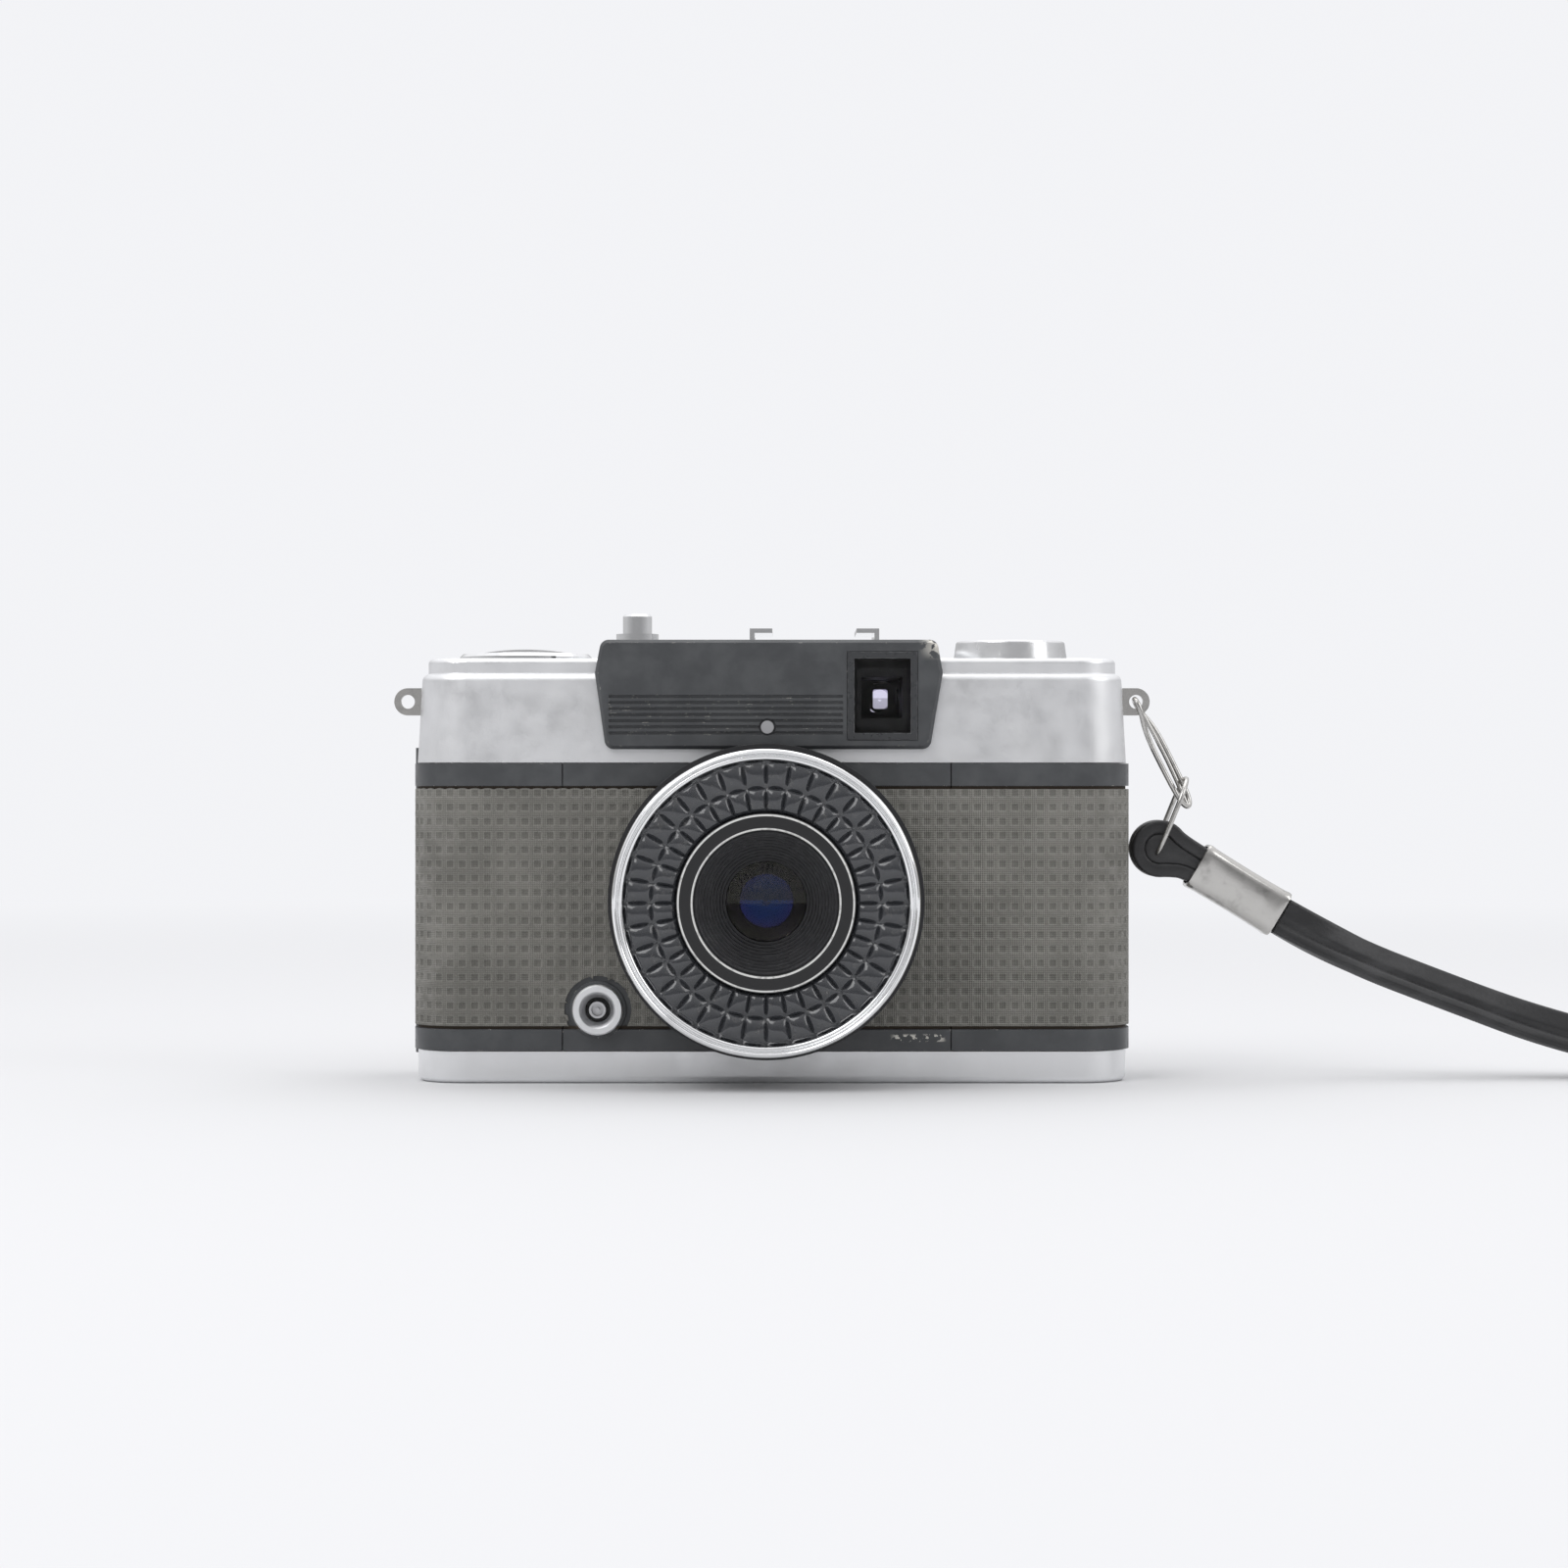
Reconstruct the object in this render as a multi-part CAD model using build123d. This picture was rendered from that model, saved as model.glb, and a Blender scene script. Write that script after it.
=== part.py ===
"""Half frame camera: a compact 35 mm camera with a light-cell ring round its lens.

Frame: +X to the right seen from the front, +Y to the back, +Z up; millimetres.
Origin: under the middle of the camera, on the plane it stands on.
"""

import math
import os

from build123d import *

# ---------------------------------------------------------------- driving dimensions
# Levels above the table.
BASE_TOP = 5.1
LOW_BAND_TOP = 8.4
HIGH_BAND_LOW = 46.2
DECK_Z = 49.7
SHOULDER_Z = 63.8
PLATE_TOP = 66.1
HUMP_TOP = 68.85
LEATHER_Z = (8.9, 45.7)

# Plan of the body.
BODY_HALF = 56.1
BODY_FRONT = -5.5
DOOR_SPLIT = 14.0
BODY_REAR = 23.4
REAR_MOST = 24.0
FRONT_RADIUS = 8.0
REAR_RADIUS = 6.0
LEATHER_T = 0.5
COVER_T = 0.9
COVER_HALF = 55.7
PLATE_HALF = 54.0
COVER_REAR = 22.6
SEAM = 0.15
FIT = 0.05

# Lens.
LENS_X, LENS_Z = -0.8, 28.56
LENS_FRONT = -24.0
BEZEL_R, BEZEL_IN_R = 23.27, 21.5
SPEED_RING_R = 24.1
WINDOW_MID_R, WINDOW_IN_R = 17.35, 13.55
LENSLETS = 36
NAME_IN_R = 10.9
BARREL_R = 20.2

# Front plate and finder hump.
PLATE_X = (-32.4, 27.75)
PANEL_FRONT = -7.2
PANEL_LOW_Z, PANEL_WIDE_Z = 51.9, 63.7
PANEL_LOW_X = (-25.7, 24.5)
PANEL_WIDE_X = (-27.4, 26.5)
PANEL_TOP_X = (-26.4, 25.6)
FINDER_X = (12.2, 22.1)
FINDER_Z = (53.8, 66.5)
FINDER_MID = (17.2, 60.0)

# Controls on the top.
BUTTON_X, BUTTON_Y, BUTTON_R, BUTTON_TOP = -21.3, 6.0, 2.3, 73.3
SPRING_LOW = 48.3
COUNTER_X, COUNTER_Y, COUNTER_R = -39.2, 9.5, 10.5
KNOB_X, KNOB_Y, KNOB_R = 37.9, 9.0, 9.0
KNOB_Z = (66.25, 69.1)
SHOE_X, SHOE_HALF, SHOE_GAP_HALF = 6.7, 10.2, 6.65
SHOE_Y = (3.0, 21.0)
SHOE_TOP = 71.0

# Film path.
CASSETTE_R = 12.9
CASSETTE_Z = (6.0, 50.9)
SPOOL_X, SPOOL_Y, SPOOL_ROOM_R = -40.5, 9.0, 12.2
SPROCKET_X, SPROCKET_Y, SPROCKET_R = -20.5, 11.35, 6.05
FILM_PLANE = 17.2
WHEEL_X, WHEEL_Y, WHEEL_R = -39.2, 12.5, 11.5
WHEEL_Z = (51.6, 56.6)

# Flash socket, lugs, door.
FLASH_X, FLASH_Z, FLASH_R = -27.0, 11.5, 3.93
LUG_X, LUG_Y, LUG_Z = 57.6, 6.0, 59.5
LUG_R, LUG_HOLE_R, LUG_T = 2.15, 1.1, 1.2
HINGE_X, HINGE_Y, HINGE_R, HINGE_PIN_R = -56.1, 14.0, 1.1, 0.5
HINGE_Z = (3.5, 11.0, 44.8, 52.3)

# Underside.
RELEASE_X, RELEASE_Y, RELEASE_R = -12.0, 3.0, 2.0
BASE_SCREWS = ((-46.0, 10.0), (46.0, -1.5), (12.0, 18.0))
TRIPOD_Y, TRIPOD_R, TRIPOD_FLANGE_R = 9.0, 2.65, 5.0

# Wrist strap: two runs of one flat vinyl strap.
STRAP_W, STRAP_T, STRAP_GAP = 6.0, 2.2, 0.4
FERRULE_FROM = (67.07, 33.76)
FERRULE_TO = (80.19, 25.78)
LINK_LOW, LINK_HIGH = (60.5, 34.95), (65.5, 47.3)
HOOK_LOW = (65.8, 43.1)


# ---------------------------------------------------------------- helpers
def block(x0, x1, y0, y1, z0, z1):
    """A box given by its limits."""
    centre = Pos((x0 + x1) / 2, (y0 + y1) / 2, (z0 + z1) / 2)
    return centre * Box(x1 - x0, y1 - y0, z1 - z0)


def rod_z(x, y, radius, z0, z1):
    """A cylinder standing along Z."""
    return Pos(x, y, (z0 + z1) / 2) * Cylinder(radius, z1 - z0)


def rod_y(x, z, radius, y0, y1):
    """A cylinder lying along Y."""
    return Pos(x, (y0 + y1) / 2, z) * Rot(90, 0, 0) * Cylinder(radius, y1 - y0)


def rod_x(y, z, radius, x0, x1):
    """A cylinder lying along X."""
    return Pos((x0 + x1) / 2, y, z) * Rot(0, 90, 0) * Cylinder(radius, x1 - x0)


def lens_ring(outer, inner, y0, y1):
    """A ring round the lens axis."""
    return rod_y(LENS_X, LENS_Z, outer, y0, y1) - rod_y(LENS_X, LENS_Z, inner, y0 - 1, y1 + 1)


def plan(half, y0, y1, front_r, rear_r):
    """The body's plan: a rectangle with one radius at the front and one at the rear."""
    sheet = Pos(0, (y0 + y1) / 2) * Rectangle(2 * half, y1 - y0)
    corners = sheet.vertices().sort_by(Axis.Y)
    if front_r:
        sheet = fillet(corners[:2], front_r)
        corners = sheet.vertices().sort_by(Axis.Y)
    if rear_r:
        sheet = fillet(corners[-2:], rear_r)
    return sheet


def slab(half, y0, y1, front_r, rear_r, z0, z1, taper=0):
    """The plan pushed up from z0 to z1."""
    return Pos(0, 0, z0) * extrude(plan(half, y0, y1, front_r, rear_r), z1 - z0, taper=taper)


def outline_y(points, y0, y1):
    """A closed outline of X, Z points pushed along Y."""
    wire = Polyline(*[(x, 0, z) for x, z in points], close=True)
    return extrude(make_face(wire), y1 - y0, dir=(0, 1, 0)).moved(Location((0, y0, 0)))


def hinge_room(radius):
    """Room for the hinge's knuckles, from the table up past the deck."""
    return rod_z(HINGE_X, HINGE_Y, radius, 0, 60)


def bracket_room():
    """Room for the tabs of the two fixed knuckles."""
    room = Part()
    for z0, z1 in ((HINGE_Z[0], HINGE_Z[1]), (HINGE_Z[2], HINGE_Z[3])):
        room += block(HINGE_X - 1, HINGE_X + 2.03, HINGE_Y - 1.63, HINGE_Y - 0.17, z0 - 0.03, z1 + 0.03)
    return room


def vertical_edges(part, length_min):
    """The part's long edges along Z."""
    return part.edges().filter_by(Axis.Z).filter_by(lambda e: e.length > length_min)


# ---------------------------------------------------------------- body and covers
def body_casting():
    """Die casting with the two film chambers, the light box and the lens bore."""
    skin = BODY_HALF - LEATHER_T
    part = slab(skin, BODY_FRONT + LEATHER_T, DOOR_SPLIT, FRONT_RADIUS - LEATHER_T, 0, BASE_TOP, DECK_Z)
    for low, high in ((BASE_TOP, LOW_BAND_TOP), (HIGH_BAND_LOW, DECK_Z)):
        part += slab(BODY_HALF, BODY_FRONT, DOOR_SPLIT, FRONT_RADIUS, 0, low, high)
    part += block(-28.4, 25.2, DOOR_SPLIT - 1, FILM_PLANE, 8.0, 48.0)
    part += rod_z(KNOB_X, KNOB_Y, CASSETTE_R + 1.0, DECK_Z - 1, CASSETTE_Z[1] + 1.0)
    part -= block(20, 60, DOOR_SPLIT, 30, DECK_Z - 0.5, 60) + block(20, 60, -9, -4.1, DECK_Z, 60)
    part += rod_z(KNOB_X, KNOB_Y, 7.5, 1.6, BASE_TOP + 1)
    part -= block(PLATE_X[0] - SEAM, PLATE_X[1] + SEAM, -9, -4.0, BASE_TOP - 1, DECK_Z + 1)
    part -= rod_z(KNOB_X, KNOB_Y, CASSETTE_R, *CASSETTE_Z)
    part -= block(KNOB_X - CASSETTE_R, KNOB_X + CASSETTE_R, KNOB_Y, 30, *CASSETTE_Z)
    part -= rod_z(KNOB_X, KNOB_Y, 6.0, 2.6, CASSETTE_Z[0] + 1)
    part -= block(KNOB_X - 6, KNOB_X + 6, KNOB_Y, 30, 2.6, CASSETTE_Z[0] + 1)
    part -= rod_z(KNOB_X, KNOB_Y, 2.6, 45, 60)
    part -= rod_z(SPOOL_X, SPOOL_Y, SPOOL_ROOM_R, 8.0, 48.0)
    part -= block(SPOOL_X - SPOOL_ROOM_R, SPOOL_X + SPOOL_ROOM_R, SPOOL_Y, 30, 8.0, 48.0)
    part -= rod_z(SPROCKET_X, SPROCKET_Y, 7.6, 8.0, 48.0)
    part -= block(SPROCKET_X - 7.6, SPROCKET_X + 7.6, SPROCKET_Y, 30, 8.0, 48.0)
    part -= rod_z(SPROCKET_X, SPROCKET_Y, 1.5 + FIT, 6.4, 60)
    part -= rod_z(SPOOL_X, SPOOL_Y, 1.5 + FIT, 6.4, 60)
    part -= rod_y(LENS_X, LENS_Z, 17.6, -6, 4.0)
    part -= block(LENS_X - 9.6, LENS_X + 9.6, 3, FILM_PLANE - 1.0, LENS_Z - 12.6, LENS_Z + 12.6)
    part -= block(LENS_X - 9.0, LENS_X + 9.0, 3, FILM_PLANE + 1, LENS_Z - 12, LENS_Z + 12)
    part -= hinge_room(HINGE_R + 0.25) + bracket_room()
    part -= rod_z(RELEASE_X, RELEASE_Y, RELEASE_R + FIT, 0, 8.5)
    part -= rod_z(BUTTON_X, BUTTON_Y, 2.6, SPRING_LOW - 0.05, 60)
    for sx, sy in BASE_SCREWS:
        part -= rod_z(sx, sy, 1.0, 3.5, 9.5)
    return part


def front_plate():
    """Painted plate that carries the lens, with its two bands and the flash socket boss."""
    x0, x1 = PLATE_X
    part = block(x0, x1, BODY_FRONT + LEATHER_T, -4.0, BASE_TOP, DECK_Z)
    part += block(x0, x1, BODY_FRONT, -4.5, BASE_TOP, LOW_BAND_TOP)
    part += block(x0, x1, BODY_FRONT, -4.5, HIGH_BAND_LOW, DECK_Z)
    part += rod_y(FLASH_X, FLASH_Z, 4.4, BODY_FRONT - 0.1, -4.5)
    part -= rod_y(LENS_X, LENS_Z, 17.6, -8, 0)
    return part - rod_y(FLASH_X, FLASH_Z, 2.6 + FIT, -8, 0)


def leatherette_front():
    """Leatherette wrapped round the front and both ends."""
    z0, z1 = LEATHER_Z
    part = slab(BODY_HALF, BODY_FRONT, DOOR_SPLIT - 0.1, FRONT_RADIUS, 0, z0, z1)
    part -= slab(BODY_HALF - LEATHER_T, BODY_FRONT + LEATHER_T, 20, FRONT_RADIUS - LEATHER_T, 0, z0 - 1, z1 + 1)
    part -= rod_y(LENS_X, LENS_Z, 22.7, -8, 0)
    part -= rod_y(FLASH_X, FLASH_Z, 5.2, -8, 0)
    part -= block(FLASH_X - 4.4, FLASH_X + 4.4, -8, 0, z0 - 1, FLASH_Z)
    return part - hinge_room(HINGE_R + 0.25) - bracket_room()


def cover_solid(inset):
    """Outer form of the top cover, or its hollow when inset is the wall."""
    half = COVER_HALF - inset
    front = BODY_FRONT + 0.15 + inset
    rear = COVER_REAR - inset
    low = slab(half, front, rear, FRONT_RADIUS - inset, REAR_RADIUS - inset,
               DECK_Z + 0.1, SHOULDER_Z - inset, taper=3.2)
    low = fillet(low.faces().sort_by(Axis.Z)[-1].edges(), 1.3)
    high = slab(PLATE_HALF - inset, front + 1.6, rear - 1.6, FRONT_RADIUS - 1.6 - inset,
                REAR_RADIUS - 1.6 - inset, SHOULDER_Z - 3, PLATE_TOP - inset)
    if not inset:
        high = fillet(high.faces().sort_by(Axis.Z)[-1].edges(), 0.8)
    hump = block(-26.4 + inset, 25.6 - inset, front + 1.0, rear - 1.2, SHOULDER_Z - 3, HUMP_TOP - 0.35 - inset)
    if not inset:
        hump = fillet(hump.edges().filter_by(Axis.Z).sort_by(Axis.Y)[-2:], 2.0)
        hump = chamfer(hump.faces().sort_by(Axis.Z)[-1].edges(), 0.5)
    return low + high + hump


def top_cover():
    """Satin top cover with its windows and openings."""
    part = cover_solid(0) - cover_solid(COVER_T)
    part -= block(-56, 56, BODY_FRONT, COVER_REAR, DECK_Z - 1, DECK_Z + 0.1)
    part -= slab(COVER_HALF - COVER_T, BODY_FRONT + 0.15 + COVER_T, COVER_REAR - COVER_T,
                 FRONT_RADIUS - COVER_T, REAR_RADIUS - COVER_T, DECK_Z, DECK_Z + 1.0)
    part -= block(FINDER_X[0] - 0.6, FINDER_X[1] + 0.6, -9, 2, FINDER_Z[0] - 0.6, FINDER_Z[1] + 0.6)
    part -= rod_y(FINDER_MID[0], FINDER_MID[1], 3.3, 15, 30)
    part -= rod_z(BUTTON_X, BUTTON_Y, 2.7, 60, 72)
    part -= rod_z(COUNTER_X, COUNTER_Y, 8.6, 60, 70)
    part -= rod_z(KNOB_X, KNOB_Y, 2.6, 60, 70)
    part -= block(WHEEL_X - 8.5, WHEEL_X + 8.5, 16, 26, WHEEL_Z[0] - 0.5, WHEEL_Z[1] + 0.5)
    part -= block(SHOE_X - SHOE_HALF - 0.1, SHOE_X + SHOE_HALF + 0.1, SHOE_Y[0] - 0.1, 24, 68.1, 70)
    part -= rod_z(SHOE_X, (SHOE_Y[0] + SHOE_Y[1]) / 2, 2.2, 60, 70)
    for side in (-1, 1):
        part -= block(side * 56 - 3, side * 56 + 3, LUG_Y - 0.62, LUG_Y + 0.62, LUG_Z - 1.2, LUG_Z + 1.2)
    for sx in (-1, 1):
        for sy in (SHOE_Y[0] + 2.0, SHOE_Y[1] - 2.0):
            part -= rod_z(SHOE_X + 4.2 * sx, sy, 0.75, 60, 70)
    part -= rod_z(HINGE_X, HINGE_Y, HINGE_R + 0.4, 49, 52.9)
    return part - bracket_room()


def bottom_cover():
    """Satin bottom cover, a shallow tray."""
    half = BODY_HALF - 0.5
    part = slab(half, BODY_FRONT + 0.15, COVER_REAR, FRONT_RADIUS, REAR_RADIUS, 0, BASE_TOP - 0.1)
    part = fillet(part.faces().sort_by(Axis.Z)[0].edges(), 1.1)
    part -= slab(half - COVER_T, BODY_FRONT + 0.15 + COVER_T, COVER_REAR - COVER_T,
                 FRONT_RADIUS - COVER_T, REAR_RADIUS - COVER_T, COVER_T, BASE_TOP + 1)
    part -= rod_z(LENS_X, TRIPOD_Y, TRIPOD_FLANGE_R + FIT, -1, 2)
    part -= rod_z(RELEASE_X, RELEASE_Y, RELEASE_R + FIT, -1, 2)
    part -= rod_z(HINGE_X, HINGE_Y, HINGE_R + 0.3, 3.2, 9) + bracket_room()
    for sx, sy in BASE_SCREWS:
        part -= rod_z(sx, sy, 1.0, -1, 3)
        part -= Pos(sx, sy, 0.3) * Cone(2.15, 1.0, 0.9)
    return part


def name_panel():
    """Blank painted panel over the hump's front, wrapped over its top edge, with fine ribs."""
    outline = [(PANEL_LOW_X[0], PANEL_LOW_Z), (PANEL_LOW_X[1], PANEL_LOW_Z), (PANEL_WIDE_X[1], PANEL_WIDE_Z),
               (PANEL_TOP_X[1], HUMP_TOP), (PANEL_TOP_X[0], HUMP_TOP), (PANEL_WIDE_X[0], PANEL_WIDE_Z)]
    part = outline_y(outline, PANEL_FRONT, -1.5)
    part = fillet(part.edges().filter_by(Axis.Y), 1.4)
    part = chamfer(part.faces().sort_by(Axis.Y)[0].edges(), 0.5)
    part -= block(-40, 40, BODY_FRONT + 0.1, 5, 40, HUMP_TOP - 0.33)
    part -= block(FINDER_X[0], FINDER_X[1], -9, 0, *FINDER_Z)
    part -= block(11.7, 22.6, -9, PANEL_FRONT + 0.5, 53.3, 67.0)
    rib_low, rib_high, ribs = 53.9, 60.5, 7
    pitch = (rib_high - rib_low) / ribs
    for i in range(ribs):
        z = rib_low + pitch * (i + 0.5)
        part -= block(-25.2, 11.0, PANEL_FRONT - 1, PANEL_FRONT + 0.35, z - 0.22, z + 0.22)
    part -= rod_y(-0.68, 55.3, 1.3, -9, PANEL_FRONT + 0.6)
    return part - rod_y(-0.68, 55.3, 0.7, -9, 0)


def panel_screw():
    """Small screw that holds the panel."""
    head = rod_y(-0.68, 55.3, 1.0, PANEL_FRONT - 0.15, PANEL_FRONT + 0.6)
    return head + rod_y(-0.68, 55.3, 0.65, PANEL_FRONT, -5.6)


def base_screws():
    """Three countersunk screws through the bottom cover."""
    parts = []
    for sx, sy in BASE_SCREWS:
        screw = Pos(sx, sy, 0.4) * Cone(1.9, 0.9, 0.7) + rod_z(sx, sy, 0.9, 0.5, 3.4)
        screw -= block(sx - 1.5, sx + 1.5, sy - 0.2, sy + 0.2, -0.2, 0.3)
        parts.append(screw)
    return Compound(children=[Part(s.wrapped) for s in parts])


def tripod_socket():
    """Threaded bush, 1/4 inch, drilled at its minor diameter."""
    part = rod_z(LENS_X, TRIPOD_Y, TRIPOD_FLANGE_R, 0.05, BASE_TOP - 0.05)
    return part - rod_z(LENS_X, TRIPOD_Y, TRIPOD_R, -1, BASE_TOP - 0.3)


def lug(side):
    """Strap lug: a plate with a round eye, riveted through the cover's end wall."""
    x = side * LUG_X
    inner = side * 53.6
    part = rod_y(x, LUG_Z, LUG_R, LUG_Y - LUG_T / 2, LUG_Y + LUG_T / 2)
    low, high = sorted((side * 55.45, x))
    part += block(low, high, LUG_Y - LUG_T / 2, LUG_Y + LUG_T / 2, LUG_Z - LUG_R, LUG_Z + LUG_R)
    low, high = sorted((inner, x))
    part += block(low, high, LUG_Y - LUG_T / 2, LUG_Y + LUG_T / 2, LUG_Z - 1.1, LUG_Z + 1.1)
    return part - rod_y(x, LUG_Z, LUG_HOLE_R, LUG_Y - 3, LUG_Y + 3)


def strap_lugs():
    """The two strap lugs."""
    return Compound(children=[Part(lug(side).wrapped) for side in (-1, 1)])


# ---------------------------------------------------------------- finder and shoe
def window_frame():
    """Raised rim round the finder window."""
    part = block(11.75, 22.55, PANEL_FRONT - 0.15, PANEL_FRONT + 0.45, 53.35, 66.95)
    part += block(FINDER_X[0] + 0.05, FINDER_X[1] - 0.05, PANEL_FRONT, -5.6, FINDER_Z[0] + 0.05, FINDER_Z[1] - 0.05)
    return part - block(FINDER_X[0] + 0.6, FINDER_X[1] - 0.6, -9, 0, FINDER_Z[0] + 0.6, FINDER_Z[1] - 0.6)


def finder_tunnel():
    """Black tunnel of the reverse telescope finder."""
    x, z = FINDER_MID
    part = block(FINDER_X[0] - 0.4, FINDER_X[1] + 0.4, -5.35, 0.5, FINDER_Z[0] - 0.4, FINDER_Z[1] + 0.4)
    part += block(x - 4, x + 4, 0, 20.5, z - 3.9, z + 3.9)
    part -= block(FINDER_X[0] + 0.5, FINDER_X[1] - 0.5, -7, -0.5, FINDER_Z[0] + 0.5, FINDER_Z[1] - 0.5)
    return part - block(x - 3.2, x + 3.2, -1, 22, z - 3.2, z + 3.2)


def finder_lens():
    """Negative front lens in a square mount."""
    x, z = FINDER_MID
    part = block(x - 3.9, x + 3.9, -3.2, -0.6, z - 4.6, z + 4.6)
    return part - Pos(x, -11.2, z) * Sphere(8.4)


def lens_form(x, z, radius, y0, y1, bulge):
    """A lens turned round an axis along Y: flat at y1, its other face domed by bulge at y0."""
    sphere_r = (radius ** 2 + bulge ** 2) / (2 * bulge)
    half_way = y0 + sphere_r - math.sqrt(sphere_r ** 2 - radius ** 2 / 4)
    dome = ThreePointArc((0, y0), (radius / 2, half_way), (radius, y0 + bulge))
    rest = Polyline((radius, y0 + bulge), (radius, y1), (0, y1), (0, y0))
    return Pos(x, 0, z) * revolve(make_face([dome, *rest.edges()]), Axis.Y)


def eyepiece_lens():
    """Positive rear lens."""
    x, z = FINDER_MID
    return lens_form(x, z, 2.7, 19.0, 20.4, 0.5)


def eyepiece_frame():
    """Round frame of the eyepiece in the cover's back wall."""
    x, z = FINDER_MID
    part = rod_y(x, z, 4.4, COVER_REAR + 0.02, REAR_MOST)
    part += rod_y(x, z, 3.2, 20.55, COVER_REAR + 0.1)
    return part - rod_y(x, z, 2.2, 15, 30)


def accessory_shoe():
    """Folded plate with two lips that hold a flash foot."""
    x0, x1 = SHOE_X - SHOE_HALF, SHOE_X + SHOE_HALF
    y0, y1 = SHOE_Y
    part = block(x0, x1, y0, y1, 68.12, SHOE_TOP)
    part -= block(x0 + 0.75, x1 - 0.75, y0 - 1, y1 + 1, 68.55, SHOE_TOP - 0.7)
    part -= block(SHOE_X - SHOE_GAP_HALF, SHOE_X + SHOE_GAP_HALF, y0 - 1, y1 + 1, 69, SHOE_TOP + 1)
    mid_y = (y0 + y1) / 2
    part -= rod_z(SHOE_X, mid_y, 2.1, 60, 75)
    for sx in (-1, 1):
        for sy in (y0 + 2.0, y1 - 2.0):
            part -= rod_z(SHOE_X + 4.2 * sx, sy, 0.75, 60, 75)
    return part


def shoe_screws():
    """Four small screws of the shoe."""
    parts = []
    for sx in (-1, 1):
        for sy in (SHOE_Y[0] + 2.0, SHOE_Y[1] - 2.0):
            x = SHOE_X + 4.2 * sx
            screw = rod_z(x, sy, 1.2, 68.55, 68.9) + rod_z(x, sy, 0.7, 65.5, 68.6)
            parts.append(screw - block(x - 1.3, x + 1.3, sy - 0.15, sy + 0.15, 68.72, 69))
    return Compound(children=[Part(s.wrapped) for s in parts])


def shoe_insulator():
    """Insulating bush round the shoe's contact."""
    mid_y = sum(SHOE_Y) / 2
    return rod_z(SHOE_X, mid_y, 2.05, 66.4, 68.6) - rod_z(SHOE_X, mid_y, 1.3, 60, 75)


def shoe_contact():
    """Flash contact in the middle of the shoe."""
    mid_y = sum(SHOE_Y) / 2
    return rod_z(SHOE_X, mid_y, 1.28, 66.0, 68.75)


# ---------------------------------------------------------------- flash socket
def flash_socket():
    """Flat ring and sleeve of the flash cord socket."""
    part = rod_y(FLASH_X, FLASH_Z, FLASH_R, -7.0, BODY_FRONT - 0.12)
    part += rod_y(FLASH_X, FLASH_Z, 2.6, -6.0, -4.05)
    return part - rod_y(FLASH_X, FLASH_Z, 1.9, -9, 0)


def flash_insulator():
    """Insulating disc inside the socket."""
    part = rod_y(FLASH_X, FLASH_Z, 1.88, -4.9, -4.05)
    return part - rod_y(FLASH_X, FLASH_Z, 0.35, -9, 0)


def flash_pin():
    """Centre contact tube and pin of the socket."""
    part = rod_y(FLASH_X, FLASH_Z, 1.3, -6.7, -4.92) - rod_y(FLASH_X, FLASH_Z, 0.95, -9, -5.2)
    return part + rod_y(FLASH_X, FLASH_Z, 0.33, -6.3, -4.1)


# ---------------------------------------------------------------- lens
def lens_barrel():
    """Black barrel between the front plate and the bezel."""
    part = lens_ring(22.5, 17.5, -9.2, BODY_FRONT)
    part += lens_ring(BARREL_R, 17.5, -20.4, -9.0)
    return part


def speed_ring():
    """Knurled ring that turns round the barrel to set film speed or aperture."""
    part = lens_ring(SPEED_RING_R, BARREL_R + FIT, -16.6, -9.6)
    flutes = 72
    for i in range(flutes):
        angle = math.radians(360 * i / flutes)
        x = LENS_X + (SPEED_RING_R + 0.45) * math.cos(angle)
        z = LENS_Z + (SPEED_RING_R + 0.45) * math.sin(angle)
        part -= rod_y(x, z, 0.8, -16.2, -11.2)
    return part


def bezel_ring():
    """Chromed bezel with a rolled edge."""
    part = lens_ring(BEZEL_R, BEZEL_IN_R, LENS_FRONT, -17.2)
    part = fillet(part.faces().sort_by(Axis.Y)[0].edges(), 0.7)
    return part + lens_ring(BEZEL_IN_R + 0.3, BARREL_R + FIT, -19.4, -17.4)


def light_cell():
    """Ring of the selenium light cell."""
    return lens_ring(21.0, 13.9, -21.3, -20.5)


def lenslet_window():
    """Clear window with two rows of lenslets over the cell."""
    part = lens_ring(BEZEL_IN_R - 0.05, WINDOW_IN_R + 0.1, -22.7, -21.4)
    rows = ((WINDOW_MID_R + 0.1, BEZEL_IN_R - 0.3), (WINDOW_IN_R + 0.3, WINDOW_MID_R - 0.1))
    for inner, outer in rows:
        middle = (inner + outer) / 2
        half = (outer - inner) / 2
        for i in range(LENSLETS):
            angle = 360 * (i + 0.5) / LENSLETS
            bump = Rot(0, -angle, 0) * Pos(middle, 0, 0) * Scale3(half, 0.75, middle * 0.078)
            part += Pos(LENS_X, -22.6, LENS_Z) * bump
    return part & lens_ring(BEZEL_IN_R - 0.05, WINDOW_IN_R + 0.1, -24, -21.4)


def Scale3(half_x, half_y, half_z):
    """A low ellipsoid, made from a unit sphere."""
    return scale(Sphere(1), by=(half_x, half_y, half_z))


def lens_name_ring():
    """Black ring in front of the inner barrel, left blank."""
    part = lens_ring(WINDOW_IN_R, NAME_IN_R, -23.6, -20.5)
    return chamfer(part.faces().sort_by(Axis.Y)[0].edges(), 0.25)


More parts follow.
